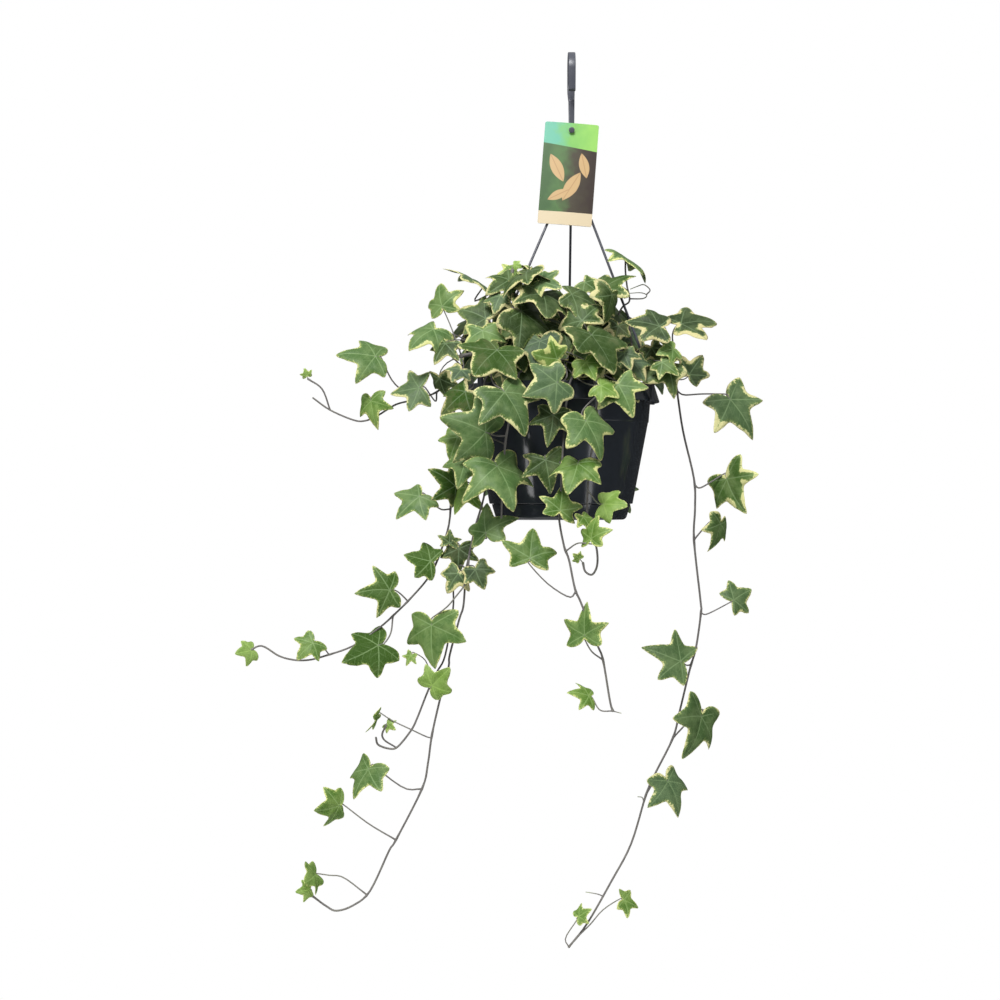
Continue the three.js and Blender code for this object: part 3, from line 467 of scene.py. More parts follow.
# Ivy stem: thin bark, purple-brown and grey where it is old and green where it is young,
# with fine grooves along it
def barkMaterial():
    material, add = newMaterial("ivyStemBark")
    bark = add("Attribute", {"attribute_name": "bark"}).outputs["Vector"]
    along, around, youth = add("SeparateXYZ", links={0: bark}).outputs
    flat = add("CombineXYZ", links={0: along, 1: around})
    stretched = add("VectorMath", {"operation": "MULTIPLY", 1: (0.16, 1.6, 1.0)}, {0: flat})
    grooves = add("TexNoise", {"Scale": 1.0, "Detail": 3.0}, {"Vector": stretched})
    patches = add("TexNoise", {"Scale": 0.12, "Detail": 2.0}, {"Vector": flat})
    shifted = add("Math", {"operation": "MULTIPLY_ADD", 1: 0.5}, {0: patches, 2: youth})
    shifted = add("Math", {"operation": "SUBTRACT", 1: 0.25}, {0: shifted})
    skin = ramp((0.0, "#605d5c"), (0.35, "#76736f"), (0.6, "#87877a"), (1.0, "#9aaa72"))
    dark = add("MapRange", span(0.35, 0.6, 0.35, 0.0), {"Value": grooves})
    colour = layered(add, add("ValToRGB", skin, {0: shifted}), [(dark, "#403d3c")])
    bump = add("Bump", {"Strength": 0.6, "Distance": 0.0003}, {"Height": grooves})
    shader = add("BsdfPrincipled", {"Roughness": 0.62, "IOR": 1.45},
                 {"Base Color": colour, "Normal": bump})
    add("OutputMaterial", links={"Surface": shader})
    return material


# Polypropylene, injection moulded in a finely textured mould: an even satin shine, with
# faint smudges from handling
def mouldedPlastic(name, colours, shine, grain):
    material, add = newMaterial(name)
    place = add("TexCoord").outputs["Object"]
    smudge = add("TexNoise", {"Scale": 28.0, "Detail": 3.0, "Roughness": 0.6}, {"Vector": place})
    pores = add("TexNoise", {"Scale": 1 / (grain * mm), "Detail": 2.0}, {"Vector": place})
    rough = add("MapRange", span(0.3, 0.7, shine - 0.02, shine + 0.03), {"Value": smudge})
    tint = add("ValToRGB", ramp((0.3, colours[0]), (0.75, colours[1])), {0: smudge})
    bump = add("Bump", {"Strength": 0.2, "Distance": 0.00002}, {"Height": pores})
    shader = add("BsdfPrincipled", {"IOR": 1.49},
                 {"Base Color": tint, "Roughness": rough, "Normal": bump})
    add("OutputMaterial", links={"Surface": shader})
    return material


# Peat compost: almost black and matt, with paler fibres and crumbs
def peatMaterial():
    material, add = newMaterial("looseDarkPeat")
    place = add("TexCoord").outputs["Object"]
    crumbs = add("TexNoise", {"Scale": 420.0, "Detail": 4.0, "Roughness": 0.65}, {"Vector": place})
    stretched = add("VectorMath", {"operation": "MULTIPLY", 1: (900, 160, 160)}, {0: place})
    fibres = add("TexNoise", {"Scale": 1.0, "Detail": 2.0}, {"Vector": stretched})
    thread = add("MapRange", span(0.68, 0.74, 0.0, 0.7), {"Value": fibres})
    tones = ramp((0.3, "#17110d"), (0.55, "#2f241b"), (0.8, "#4b3a2a"))
    colour = layered(add, add("ValToRGB", tones, {0: crumbs}), [(thread, "#6d5336")])
    bump = add("Bump", {"Strength": 0.8, "Distance": 0.001}, {"Height": crumbs})
    shader = add("BsdfPrincipled", {"Roughness": 0.96, "IOR": 1.4},
                 {"Base Color": colour, "Normal": bump})
    add("OutputMaterial", links={"Surface": shader})
    return material


# Printed card under a thin clear film: a green band at the top, a picture panel with a few
# plain leaf shapes, and a bare cream strip. The film gives it a soft gloss.
tagPrint = {
    "bandLow": 19.0,         # mm below the card's top edge
    "panelLow": 70.3,
    "leaves": [(-9.0, 36.0, 24.0, 62.0), (3.0, 50.0, 26.0, 118.0), (11.5, 33.0, 20.0, 75.0),
               (-6.5, 57.0, 18.0, 150.0)],     # middle across and down, length, turn
    "plump": 0.19,
    "ground": ((0.1, "#2f5622"), (0.35, "#456a33"), (0.6, "#3a3320"), (0.9, "#2e2119")),
    "band": ((0.2, "#5fae93"), (0.5, "#74b455"), (0.9, "#8cc45c")),
    "leafColours": ("#bf9f70", "#94693c"),
    "strip": "#cfbf9f",
    "back": "#efe9dc",
    "softEdge": 0.1,
}


def printedLeaf(add, place, leaf):    # the mask and the colour of one leaf of the print
    x, y, length, turn = leaf
    moved = add("VectorMath", {"operation": "SUBTRACT", 1: (x, y, 0)}, {0: place})
    turned = add("VectorRotate", {"rotation_type": "Z_AXIS", "Angle": math.radians(-turn)},
                 {"Vector": moved})
    u, v, _ = add("SeparateXYZ", links={0: turned}).outputs
    bow = add("Math", {"operation": "MULTIPLY", 1: 4 / length ** 2}, {0: u})
    bow = add("Math", {"operation": "MULTIPLY"}, {0: bow, 1: u})
    plump = tagPrint["plump"] * length
    half = add("Math", {"operation": "MULTIPLY_ADD", 1: -plump, 2: plump}, {0: bow})
    wide = add("Math", {"operation": "ABSOLUTE"}, {0: v})
    inside = add("Math", {"operation": "SUBTRACT"}, {0: half, 1: wide})
    rib = add("MapRange", span(0.2, 0.5, 0.45, 0.0), {"Value": wide})
    flesh, dark = tagPrint["leafColours"]
    return add("MapRange", span(-0.15, 0.15), {"Value": inside}), layered(add, flesh, [(rib, dark)])


def cardMaterial():
    material, add = newMaterial("printedFilmCard")
    place = add("Attribute", {"attribute_name": "cardPlace"}).outputs["Vector"]
    across, down, front = add("SeparateXYZ", links={0: place}).outputs
    blur = add("TexNoise", {"Scale": 0.11, "Detail": 2.0}, {"Vector": place})
    lean = add("Math", {"operation": "MULTIPLY_ADD", 1: 1 / 42, 2: 0.25}, {0: across})
    lean = add("Math", {"operation": "MULTIPLY_ADD", 1: 0.5}, {0: blur, 2: lean})
    ground, band = (add("ValToRGB", ramp(*tagPrint[part]), {0: lean}) for part in ("ground", "band"))
    colour = layered(add, ground, [printedLeaf(add, place, leaf) for leaf in tagPrint["leaves"]])
    rise = add("Math", {"operation": "MULTIPLY_ADD", 1: -0.12}, {0: across, 2: down})
    soft = tagPrint["softEdge"]
    below, low = (add("MapRange", span(tagPrint[edge] - soft, tagPrint[edge] + soft), {"Value": height})
                  for edge, height in (("bandLow", rise), ("panelLow", down)))
    colour = layered(add, band, [(below, colour), (low, tagPrint["strip"])])
    colour = layered(add, tagPrint["back"], [(front, colour)])
    shader = add("BsdfPrincipled", {"Roughness": 0.34, "IOR": 1.5}, {"Base Color": colour})
    add("OutputMaterial", links={"Surface": shader})
    return material


leafUpper = leafMaterial("ivyLeafWaxedUpper", False)
leafUnder = leafMaterial("ivyLeafMattUnder", True)
ivyBark = barkMaterial()
potPlastic = mouldedPlastic("mouldedPolypropylene", ("#292d32", "#2e333a"), 0.13, 0.5)
# the hanger's own dark grey, raised a little as a painted sheen for the light that its thin arms catch
hangerPlastic = mouldedPlastic("mouldedHangerPolypropylene", ("#43454e", "#4d4f58"), 0.34, 0.45)
peat = peatMaterial()
print("materials mixed")


# Ivy leaf: the outline, then the blade with its veins, waves and thickness

leafForm = {
    "tip": (1.0, 0.0),
    "sinus": (0.38, 0.25),
    "full": ((0.07, 0.07), (0.02, 0.10)),    # how far a full leaf's sinuses stand out
    "sideLobe": (0.42, 0.76),
    "lowSinus": (0.05, 0.40),
    "baseLobe": (-0.27, 0.56),
    "closing": (-0.30, 0.18),
    "open": (0.12, 0.05),    # how far a leaf's base may stand open
    "notch": (-0.07, 0.0),
    "junction": (0.03, 0.0),
    "swell": (0.045, 0.045, 0.04, 0.03, 0.05, 0.03),     # of the stretches between those points
    "jitter": (0, 0.025, 0.03, 0.035, 0.035, 0.03, 0),
    "fine": {"samples": (13, 10, 9, 7, 6, 5),
             "rings": (0.0, 0.09, 0.2, 0.32, 0.45, 0.58, 0.7, 0.81, 0.9, 0.96, 1.0)},
    "coarse": {"samples": (7, 6, 5, 4, 4, 3), "rings": (0.0, 0.2, 0.45, 0.7, 0.88, 1.0)},
    "thick": 0.32,
    "puff": 0.017,           # how far the blade stands up between its main veins
    "puffReach": 3.4,        # mm
    "wave": (0.016, 0.045),
    "sideBend": (0.12, 0.62),
    "lobeBend": (-0.5, 1.1),
    "tipBend": (-0.1, 0.5),
    "baseBend": (-0.5, 0.9),
    "twist": 0.16,
    "roll": 0.02,            # how far the very edge turns down
}
sideLobeKey = 2              # its place in a side's row of points, as of those below
sinusKeys = (1, 3)
closingKey = 5


def draws(seed):                      # seeded draws, the same in each run
    state = seed

    def draw():
        nonlocal state
        state = (state * 1664525 + 1013904223) % 4294967296
        return state / 4294967296
    return draw


def leafShape(draw):
    return {
        "width": 0.94 + 0.16 * draw(),
        "left": 0.92 + 0.16 * draw(),
        "right": 0.92 + 0.16 * draw(),
        "droop": 0.06 + 0.12 * draw(),
        "fold": 0.02 + 0.14 * draw(),
    }


def outlineOf(shape, age, full, chance, samples):
    names = ("tip", "sinus", "sideLobe", "lowSinus", "baseLobe", "closing", "notch")
    young = max(0.0, 1 - age / 0.35)
    wideOpen = chance.random()
    sides = []
    for hand, grow in ((1, shape["left"]), (-1, shape["right"])):
        keys = [np.array(leafForm[name]) for name in names]
        keys[sideLobeKey] = keys[sideLobeKey] * grow
        keys = [key + np.array((chance.uniform(-j, j), chance.uniform(-j, j)))
                for key, j in zip(keys, leafForm["jitter"])]
        for key, out in zip(sinusKeys, leafForm["full"]):
            keys[key] = keys[key] + (full + 0.5 * young + chance.uniform(-0.2, 0.2)) * np.array(out)
        keys[closingKey] = keys[closingKey] + wideOpen * np.array(leafForm["open"])
        line, softness = [], []
        for k, (count, swell) in enumerate(zip(samples, leafForm["swell"])):
            start, end = keys[k], keys[k + 1]
            way = end - start
            out = np.array((way[1], -way[0])) / np.linalg.norm(way)
            swell = swell * chance.uniform(0.5, 1.4) * (0.5 + 0.7 * full) + 0.02 * young
            for i in range(count):
                t = i / count
                line.append(start + way * t + out * swell * 4 * t * (1 - t))
                atTip = k in (0, 2, 4) and i == 0
                softness.append(0.22 + 0.4 * young if atTip else 0.5)
        line = np.array(line) * (1, hand * shape["width"])
        sides.append((line, softness))
    (left, leftSoft), (right, rightSoft) = sides
    notch = np.array([leafForm["notch"]])
    outline = np.concatenate([left, notch, right[:0:-1]])
    soft = np.array(leftSoft + [0.05] + rightSoft[:0:-1])[:, None]
    for _ in range(round(samples[0] / 13 * (5 + 6 * young))):
        middle = (np.roll(outline, 1, axis=0) + np.roll(outline, -1, axis=0)) / 2
        outline = outline + soft * (middle - outline)
    turn = np.linspace(0, 2 * math.pi, len(outline), endpoint=False)
    ripple = sum(chance.uniform(0.3, 1) * np.sin(turn * n + chance.uniform(0, 6.3)) for n in (9, 14, 23))
    centre = np.array(leafForm["junction"])
    return centre + (outline - centre) * (1 + 0.009 * ripple[:, None])


def lobeColumns(samples):             # the columns of the blade that run out to a lobe's tip
    half = sum(samples)
    side, base = samples[0] + samples[1], sum(samples[:4])
    return [0, side, base, 2 * half - side, 2 * half - base]


def alongVeins(places, outline, length, samples, chance):
    # distance from the nearest main vein and the way along it, both in mm
    centre = np.array(leafForm["junction"])
    best = np.full(len(places), 1e9)
    along = np.zeros(len(places))
    for column in lobeColumns(samples):
        way = (outline[column] - centre) * 0.97
        t = np.clip((places - centre).dot(way) / way.dot(way), 0, 1)
        sway = chance.uniform(-0.16, 0.16) * np.array((-way[1], way[0]))
        line = centre + t[:, None] * way + (t * (1 - t))[:, None] * sway
        off = np.linalg.norm(places - line, axis=1)
        nearer = off < best
        best = np.where(nearer, off, best)
        along = np.where(nearer, t * np.linalg.norm(way), along)
    return best * length, along * length


def bladeHeight(a, b, off, reach, turn, shape, chance):
    # the blade sags to its sides and tip, each lobe bends its own way, and the edge waves
    drawn = {name: chance.uniform(*leafForm[name]) for name in ("sideBend", "tipBend", "wave")}
    height = shape["fold"] * np.abs(b) - shape["droop"] * a * np.abs(a) - drawn["sideBend"] * b * b
    height += chance.uniform(-1, 1) * leafForm["twist"] * a * b
    height -= drawn["tipBend"] * np.maximum(0, a - 0.35) ** 2
    for hand in (1, -1):
        height -= chance.uniform(*leafForm["lobeBend"]) * np.maximum(0, hand * b - 0.3) ** 2
        base = np.maximum(0, 0.05 - a) * np.maximum(0, hand * b)
        height -= chance.uniform(*leafForm["baseBend"]) * base
    height += leafForm["puff"] * (1 - np.exp(-(off / leafForm["puffReach"]) ** 2)) * (1 - reach ** 6)
    for n in (2, 3, 5, 8):
        height += drawn["wave"] / math.sqrt(n) * reach ** 2.5 * np.sin(n * turn + chance.uniform(0, 6.3))
    return height - leafForm["roll"] * np.maximum(0, (reach - 0.8) / 0.2) ** 2


def growBlade(heap, pose, shape, age, look, seed, cell, cells, detail="fine"):
    chance = random.Random(seed)
    cream, hue, full = look
    length = pose["length"]
    samples, rings = leafForm[detail]["samples"], leafForm[detail]["rings"]
    outline = outlineOf(shape, age, full, chance, samples)
    centre = np.array(leafForm["junction"])
    columns = len(outline)
    places = np.concatenate([[centre]] + [centre + ring * (outline - centre) for ring in rings[1:]])
    reach = np.concatenate([[0.0]] + [np.full(columns, ring) for ring in rings[1:]])
    turn = np.concatenate([[0.0]] + [2 * math.pi * np.arange(columns) / columns] * (len(rings) - 1))
    off, along = alongVeins(places, outline, length, samples, chance)
    edge = np.min(np.linalg.norm(places[:, None] - outline[None], axis=2), axis=1) * length
    a, b = places[:, 0], places[:, 1]
    height = bladeHeight(a, b, off, reach, turn, shape, chance)
    across = np.cross(pose["face"], pose["direction"])
    upper = (pose["start"] + np.outer(a, pose["direction"]) * length
             + np.outer(b, across) * length + np.outer(height, pose["face"]) * length)
    fan = [(0, 1 + k, 1 + (k + 1) % columns) for k in range(columns)]
    quads = []
    for row in range(len(rings) - 2):
        low, high = 1 + row * columns, 1 + (row + 1) * columns
        for k in range(columns):
            j = (k + 1) % columns
            quads.append((low + k, high + k, high + j, low + j))
    faces = fan + quads
    normals = pointNormals(upper, faces)
    lower = upper - normals * (leafForm["thick"] * (1 - 0.55 * reach ** 8))[:, None]
    total = len(places)
    rim = 1 + (len(rings) - 2) * columns
    edgeFaces = [(rim + k, total + rim + k, total + rim + (k + 1) % columns, rim + (k + 1) % columns)
                 for k in range(columns)]
    under = [tuple(total + i for i in reversed(face)) for face in faces]
    flat = (places - (0.38, 0)) / 1.5 + 0.5
    cellsWide = math.ceil(math.sqrt(2 * cells))
    spots = []
    for side in (0, 1):
        number = 2 * cell + side
        corner = np.array((number % cellsWide, number // cellsWide))
        spots.append((corner + 0.04 + 0.92 * flat) / cellsWide)
    flatPlaces = [spots[0][i] for face in faces for i in face]
    flatPlaces += [spots[0][i % total] for face in edgeFaces for i in face]
    flatPlaces += [spots[1][i - total] for face in under for i in face]
    plane = np.column_stack([a * length, b * length, np.full(total, 11.0 * (seed % 31))])
    sheet = np.column_stack([along, off, edge])
    tone = np.tile((age, cream, hue), (2 * total, 1))
    before = len(heap.faces)
    heap.add(np.concatenate([upper, lower]), faces + edgeFaces + under, flatPlaces,
             leafPlane=np.tile(plane, (2, 1)), leafSheet=np.tile(sheet, (2, 1)), leafTone=tone)
    heap.slots[before + len(faces) + len(edgeFaces):] = [1] * len(under)


# Plants. The places of leaves and stems are written as they appear from straight in front,
# on the upright plane through the hook, with a depth as third number. A point slides along
# its line of sight to that depth.

viewPlace = np.array((-54.6, -1650.0, -338.5))
holeDepth = 20.0
rootedPoints = 3
apart = 4.5                  # between the stalks that leave one stem


def seen(place):
    across, up, depth = place
    scale = 1 + depth / -viewPlace[1]
    return np.array((viewPlace[0] + (across - viewPlace[0]) * scale, depth,
                     viewPlace[2] + (up - viewPlace[2]) * scale))


def leaf(at, tip, roll, age, on=None, via=None, shoot=None, **look):
    # where its veins meet, where its middle lobe points, the roll about that lobe, its age
    # from 0 for a fresh one to 1, where its stalk leaves the stem and passes. Its look may give
    # its hue from 0 for grey-green to 1 for deep green, how full it is and how much cream it has.
    return {"at": at, "tip": tip, "roll": roll, "age": age, "on": on, "via": via, "shoot": shoot,
            **look}


def squarePose(start, direction, face, length):       # its face is turned square to its direction
    face = unit(face - direction * face.dot(direction))
    return {"start": start, "direction": direction, "face": face, "length": length}


def poseOf(one):
    start = seen(one["at"])
    way = seen([a + b for a, b in zip(one["at"], one["tip"])]) - start
    length = np.linalg.norm(way)
    pose = squarePose(start, way / length, np.array((0.0, -1.0, 0.0)), length)
    turn = math.radians(one["roll"])
    pose["face"] = (math.cos(turn) * pose["face"]
                    + math.sin(turn) * np.cross(pose["face"], pose["direction"]))
    return pose


def curvePoint(points, share):        # of a smooth curve that passes every point
    last = len(points) - 1
    place = share * last
    i = min(int(place), last - 1)
    t = place - i
    a, b = points[i], points[i + 1]
    before = points[i - 1] if i > 0 else 2 * a - b
    after = points[i + 2] if i + 2 <= last else 2 * b - a
    return ((2 * t ** 3 - 3 * t ** 2 + 1) * a + (t ** 3 - 2 * t ** 2 + t) * (b - before) / 2
            + (3 * t ** 2 - 2 * t ** 3) * b + (t ** 3 - t ** 2) * (after - a) / 2)


def nearestOn(curves, target, taken=()):
    best, nearest = None, 1e9
    for curve in curves:
        parts = 6 * (len(curve["points"]) - 1)
        for k in range(6 * rootedPoints if curve["rooted"] else 0, parts + 1):
            point = curvePoint(curve["points"], k / parts)
            distance = np.linalg.norm(point - target)
            if distance < nearest and all(np.linalg.norm(place - point) > apart for place in taken):
                best, nearest = point, distance
    return best


def stalkPath(start, pose, passed, steps=14):
    end = pose["start"] + leafForm["notch"][0] * pose["length"] * pose["direction"]
    under = 0.35 * pose["face"]
    into = [pose["start"] + leafForm["junction"][0] * pose["length"] * pose["direction"] - under]
    if passed:
        last = end - 2 * pose["direction"] - pose["face"]
        points = [start, *[seen(place) for place in passed], last, end - under]
        return [curvePoint(points, k / steps) for k in range(steps + 1)] + into
    reach = 0.36 * np.linalg.norm(start - end)
    back = end - 0.75 * reach * pose["direction"] - 0.6 * reach * pose["face"]
    out = start + 0.45 * (back - start)
    path = []
    for k in range(steps + 1):
        t = k / steps
        path.append((1 - t) ** 3 * start + 3 * t * (1 - t) ** 2 * out + 3 * t ** 2 * (1 - t) * back
                    + t ** 3 * (end - under))
    return path + into


stemForm = {
    "sides": 10,
    "shrink": (0.64, 1.1),   # of the stand-in's thickness, at the foot and at the tip
    "nodeSwell": 0.28,       # thicker where a leaf's stalk leaves
    "nodeReach": 2.2,        # mm
    "branch": 0.8,           # the side shoots' thickness as a share of the main one's
    "stalk": (0.68, 0.46),   # mm, at its foot and at the leaf
    "innerStalk": (0.6, 0.4),
    "stalkSides": 8,
    "tendril": (0.55, 0.3),
    "tendrilSteps": 20,
}


def growStem(heap, points, footRadius, tipRadius, nodes, youth):
    samples = 5 * (len(points) - 1)
    path = np.array([curvePoint(points, k / samples) for k in range(samples + 1)])
    run = np.concatenate([[0], np.cumsum(np.linalg.norm(np.diff(path, axis=0), axis=1))])
    radii = np.interp(run / run[-1], (0, 1), np.array((footRadius, tipRadius)) * stemForm["shrink"])
    for node in nodes:
        off = np.linalg.norm(path - node, axis=1)
        radii = radii * (1 + stemForm["nodeSwell"] * np.exp(-(off / stemForm["nodeReach"]) ** 2))
    addRod(heap, path, radii, stemForm["sides"], youth)


def addRod(heap, path, radii, sides, youth):   # youth is given at its foot and at its tip
    points, faces, values = sweepRod(path, radii, sides)
    values[:, 2] = youth[0] + (youth[1] - youth[0]) * values[:, 2]
    heap.add(points, faces, bark=values)


def routesOf(plant):                  # of its shoots and its tendrils
    foot = plant["foot"]
    rooted = [np.array((potX + foot[0], foot[1], soilTop + up)) for up in (0.5 - holeDepth, -6, 4, 11)]
    curves = []
    for i, route in enumerate(plant["shoots"]):
        before = rooted if i == 0 else [nearestOn(curves, seen(route[0]))]
        curves.append({"points": before + [seen(place) for place in route], "rooted": i == 0})
    wood, tendrils = list(curves), []
    for route in plant.get("tendrils", []):
        start = nearestOn(wood, seen(route[0]))
        tendrils.append([start] + [seen(place) for place in route])
        wood.append({"points": tendrils[-1], "rooted": False})
    return curves, tendrils


def growStalk(stems, start, pose, one):
    path = stalkPath(start, pose, one.get("via"))
    thin = min(1.0, 0.55 + pose["length"] / 60)
    radii = np.linspace(*stemForm["stalk"], len(path)) * thin
    radii[0] *= 1.3
    youth = 1 - one["age"]
    addRod(stems, path, radii, stemForm["stalkSides"], (0.05 + 0.5 * youth, 0.2 + 0.6 * youth))


def growLeaves(leaves, stems, curves, plant, seed, draw, mood):
    taken = []                        # where stalks leave the stems
    for i, one in enumerate(plant["leaves"]):
        pose = one.get("pose") or poseOf(one)
        shape = leafShape(draw)
        own = curves if one.get("shoot") is None else [curves[one["shoot"]]]
        if one.get("on"):
            start = nearestOn(own, seen(one["on"]))
        else:
            start = nearestOn(own, pose["start"], taken)
        taken.append(start)
        growStalk(stems, start, pose, one)
        drawn = {"cream": plant.get("cream", 0.2) * min(1.0, one["age"] / 0.45),
                 "hue": 0.85 * mood.random(), "full": plant.get("full", 0.3) + mood.uniform(-0.3, 0.3)}
        look = [one.get(key, value) for key, value in drawn.items()]
        growBlade(leaves, pose, shape, one["age"], look, 100 * seed + i, i, len(plant["leaves"]))
    return taken


def growInnerLeaves(inside, stems, curves, inner, seed, draw, mood):
    for i, one in enumerate(inner):
        path = stalkPath(nearestOn(curves, one["pose"]["start"]), one["pose"], None, 8)
        addRod(stems, path, np.linspace(*stemForm["innerStalk"], len(path)), 5, (0.2, 0.4))
        look = (0.4, 0.5 + 0.25 * mood.random(), 0.8)
        growBlade(inside, one["pose"], leafShape(draw), one["age"], look, 100 * seed + 50 + i, i,
                  len(inner), "coarse")


def growPlant(name, node, plant, seed):
    draw, mood = draws(seed), random.Random(seed)
    leafValues = ("leafPlane", "leafSheet", "leafTone")
    leaves, inside, stems = Heap(*leafValues), Heap(*leafValues), Heap("bark")
    inner = plant.get("inner", [])
    curves, tendrils = routesOf(plant)
    taken = growLeaves(leaves, stems, curves, plant, seed, draw, mood)
    growInnerLeaves(inside, stems, curves, inner, seed, draw, mood)
    for i, curve in enumerate(curves):
        footRadius = plant["radius"] * (1 if i == 0 else stemForm["branch"])
        growStem(stems, curve["points"], footRadius, plant["tipRadius"], taken, (0.0, 0.38))
    steps = stemForm["tendrilSteps"]
    for points in tendrils:
        path = [curvePoint(points, k / steps) for k in range(steps + 1)]
        addRod(stems, path, np.linspace(*stemForm["tendril"], len(path)), stemForm["stalkSides"],
               (0.3, 0.9))
    makePiece(name + "Leaves", leaves, [leafUpper, leafUnder], node)
    if inner:
        makePiece(name + "InnerLeaves", inside, [leafUpper, leafUnder], node)
    makePiece(name + "Stems", stems, [ivyBark], node)
    print(name, "grown with", len(plant["leaves"]), "leaves and", len(inner), "inner ones")


# Pot: a tapered shell with a deep flared rim, a faint step under the rim and a recessed foot

potForm = {
    "segments": 160,
    # radius, height and rounding of each corner, from the floor outside over the rim and in
    "profile": [
        (0, potFoot, 0), (49.8, potFoot, 0.8), (51.2, potFoot + 2.0, 0.7), (54.6, potFoot + 2.2, 0.6),
        (66.3, rimLow - 15.6, 0.3), (66.8, rimLow - 14.9, 0.3), (68.1, rimLow + 0.6, 0.8),
        (73.6, rimLow + 0.1, 0.3), (75.0, rimLow, 0.4), (74.9, rimLow + 1.0, 0.5),
        (71.4, rimTop - 1.4, 1.0), (71.1, rimTop, 0.7), (69.0, rimTop, 0.7), (68.6, rimTop - 1.6, 0.6),
        (66.7, rimLow + 4, 1.5), (53.2, potFoot + 3.2, 1.5), (50.5, potFoot + 1.6, 1.5),
        (0, potFoot + 1.6, 0),
    ],
    "drains": 6,
    "drainRing": 26.0,
    "drainRadius": 3.0,
    "drainSides": 24,
}
rimRadius = 75.0
gap = 0.35                   # between pieces that touch


def shiftedX(points, shift):
    return points + np.array((shift, 0.0, 0.0))


def cutWith(piece, cutter, operation="DIFFERENCE"):   # an exact cut or join, then the cutter goes
    modifier = piece.modifiers.new("cut", "BOOLEAN")
    modifier.operation = operation
    modifier.solver = "EXACT"
    modifier.object = cutter
    applyModifiers(piece)
    bpy.data.objects.remove(cutter)


def applyModifiers(piece):
    scene = bpy.context.evaluated_depsgraph_get()
    mesh = bpy.data.meshes.new_from_object(piece.evaluated_get(scene), depsgraph=scene)
    piece.modifiers.clear()
    old = piece.data
    piece.data = mesh
    bpy.data.meshes.remove(old)


def bareObject(name, points, faces):
    mesh = bpy.data.meshes.new(name)
    mesh.from_pydata((np.asarray(points) * mm).tolist(), [], faces)
    thing = bpy.data.objects.new(name, mesh)
    bpy.context.scene.collection.objects.link(thing)
    return thing


def smoothByAngle(piece, degrees):
    piece.data.polygons.foreach_set("use_smooth", [True] * len(piece.data.polygons))
    bpy.context.view_layer.objects.active = piece
    piece.data.set_sharp_from_angle(angle=math.radians(degrees))


def makePot():
    heap = Heap()
    profile = roundedProfile(potForm["profile"])
    points, faces = latheShape(profile, potForm["segments"])
    heap.add(shiftedX(points, potX), faces)
    pot = makePiece("hangingPot", heap, [potPlastic], "pot")
    drains = Heap()
    for k in range(potForm["drains"]):
        points, faces = drumShape(potForm["drainRadius"], potFoot - 1, potFoot + 3, potForm["drainSides"])
        middle = polar(2 * math.pi * k / potForm["drains"], potForm["drainRing"])
        drains.add(shiftedX(points + middle, potX), faces)
    cutWith(pot, bareObject("drains", np.concatenate(drains.points), drains.faces))
    smoothByAngle(pot, 38)


# Saucer: a shallow tray that the pot's foot stands in, on three low ribs

saucerForm = {
    "segments": 144,
    "profile": [
        (0, saucerFoot, 0), (48.2, saucerFoot, 1.2), (49.9, saucerFoot + 1.6, 1.2),
        (52.9, potFoot + 1.85, 0.35), (51.9, potFoot + 1.85, 0.35), (48.7, saucerFoot + 1.7, 1.2),
        (0, saucerFoot + 1.6, 0),
    ],
    "ribs": (90, 210, 330),
    "ribSize": (26.0, 1.6),
    "ribMiddle": 33.0,
}


def boxShape(low, high):
    corners = [(x, y, z) for z in (low[2], high[2]) for y in (low[1], high[1]) for x in (low[0], high[0])]
    faces = [(0, 2, 3, 1), (4, 5, 7, 6), (0, 1, 5, 4), (2, 6, 7, 3), (0, 4, 6, 2), (1, 3, 7, 5)]
    return np.array(corners, float), faces


def turnedZ(points, degrees):
    angle = math.radians(degrees)
    matrix = np.array(((math.cos(angle), math.sin(angle), 0), (-math.sin(angle), math.cos(angle), 0),
                       (0, 0, 1)))
    return points @ matrix


def makeSaucer():
    heap = Heap()
    points, faces = latheShape(roundedProfile(saucerForm["profile"]), saucerForm["segments"])
    heap.add(shiftedX(points, potX), faces)
    saucer = makePiece("dripSaucer", heap, [potPlastic], "saucer")
    long, wide = saucerForm["ribSize"]
    middle = saucerForm["ribMiddle"]
    ribs = Heap()
    for angle in saucerForm["ribs"]:
        points, faces = boxShape((middle - long / 2, -wide / 2, saucerFoot + 1),
                                 (middle + long / 2, wide / 2, potFoot - gap))
        ribs.add(shiftedX(turnedZ(points, angle), potX), faces)
    cutWith(saucer, bareObject("ribs", np.concatenate(ribs.points), ribs.faces), "UNION")
    smoothByAngle(saucer, 38)


# Soil: a filled block of peat with an uneven top, and loose crumbs on it

soilForm = {
    "bottom": -341.0,
    "lowRadius": 51.8,
    "topRadius": 64.6,
    "segments": 120,
    "rings": 34,
    "lumps": 1.3,            # mm, how uneven the top is
    "crumbs": 420,
    "crumbSize": (0.7, 2.1),
}


def hillock(x, y):                    # the soil's uneven height there, from a few waves
    return sum(math.sin(x * a + y * b + c) for a, b, c in
               ((0.31, 0.12, 1), (-0.17, 0.36, 2), (0.62, -0.41, 4), (0.9, 0.77, 5), (-1.3, 0.9, 3))) / 5


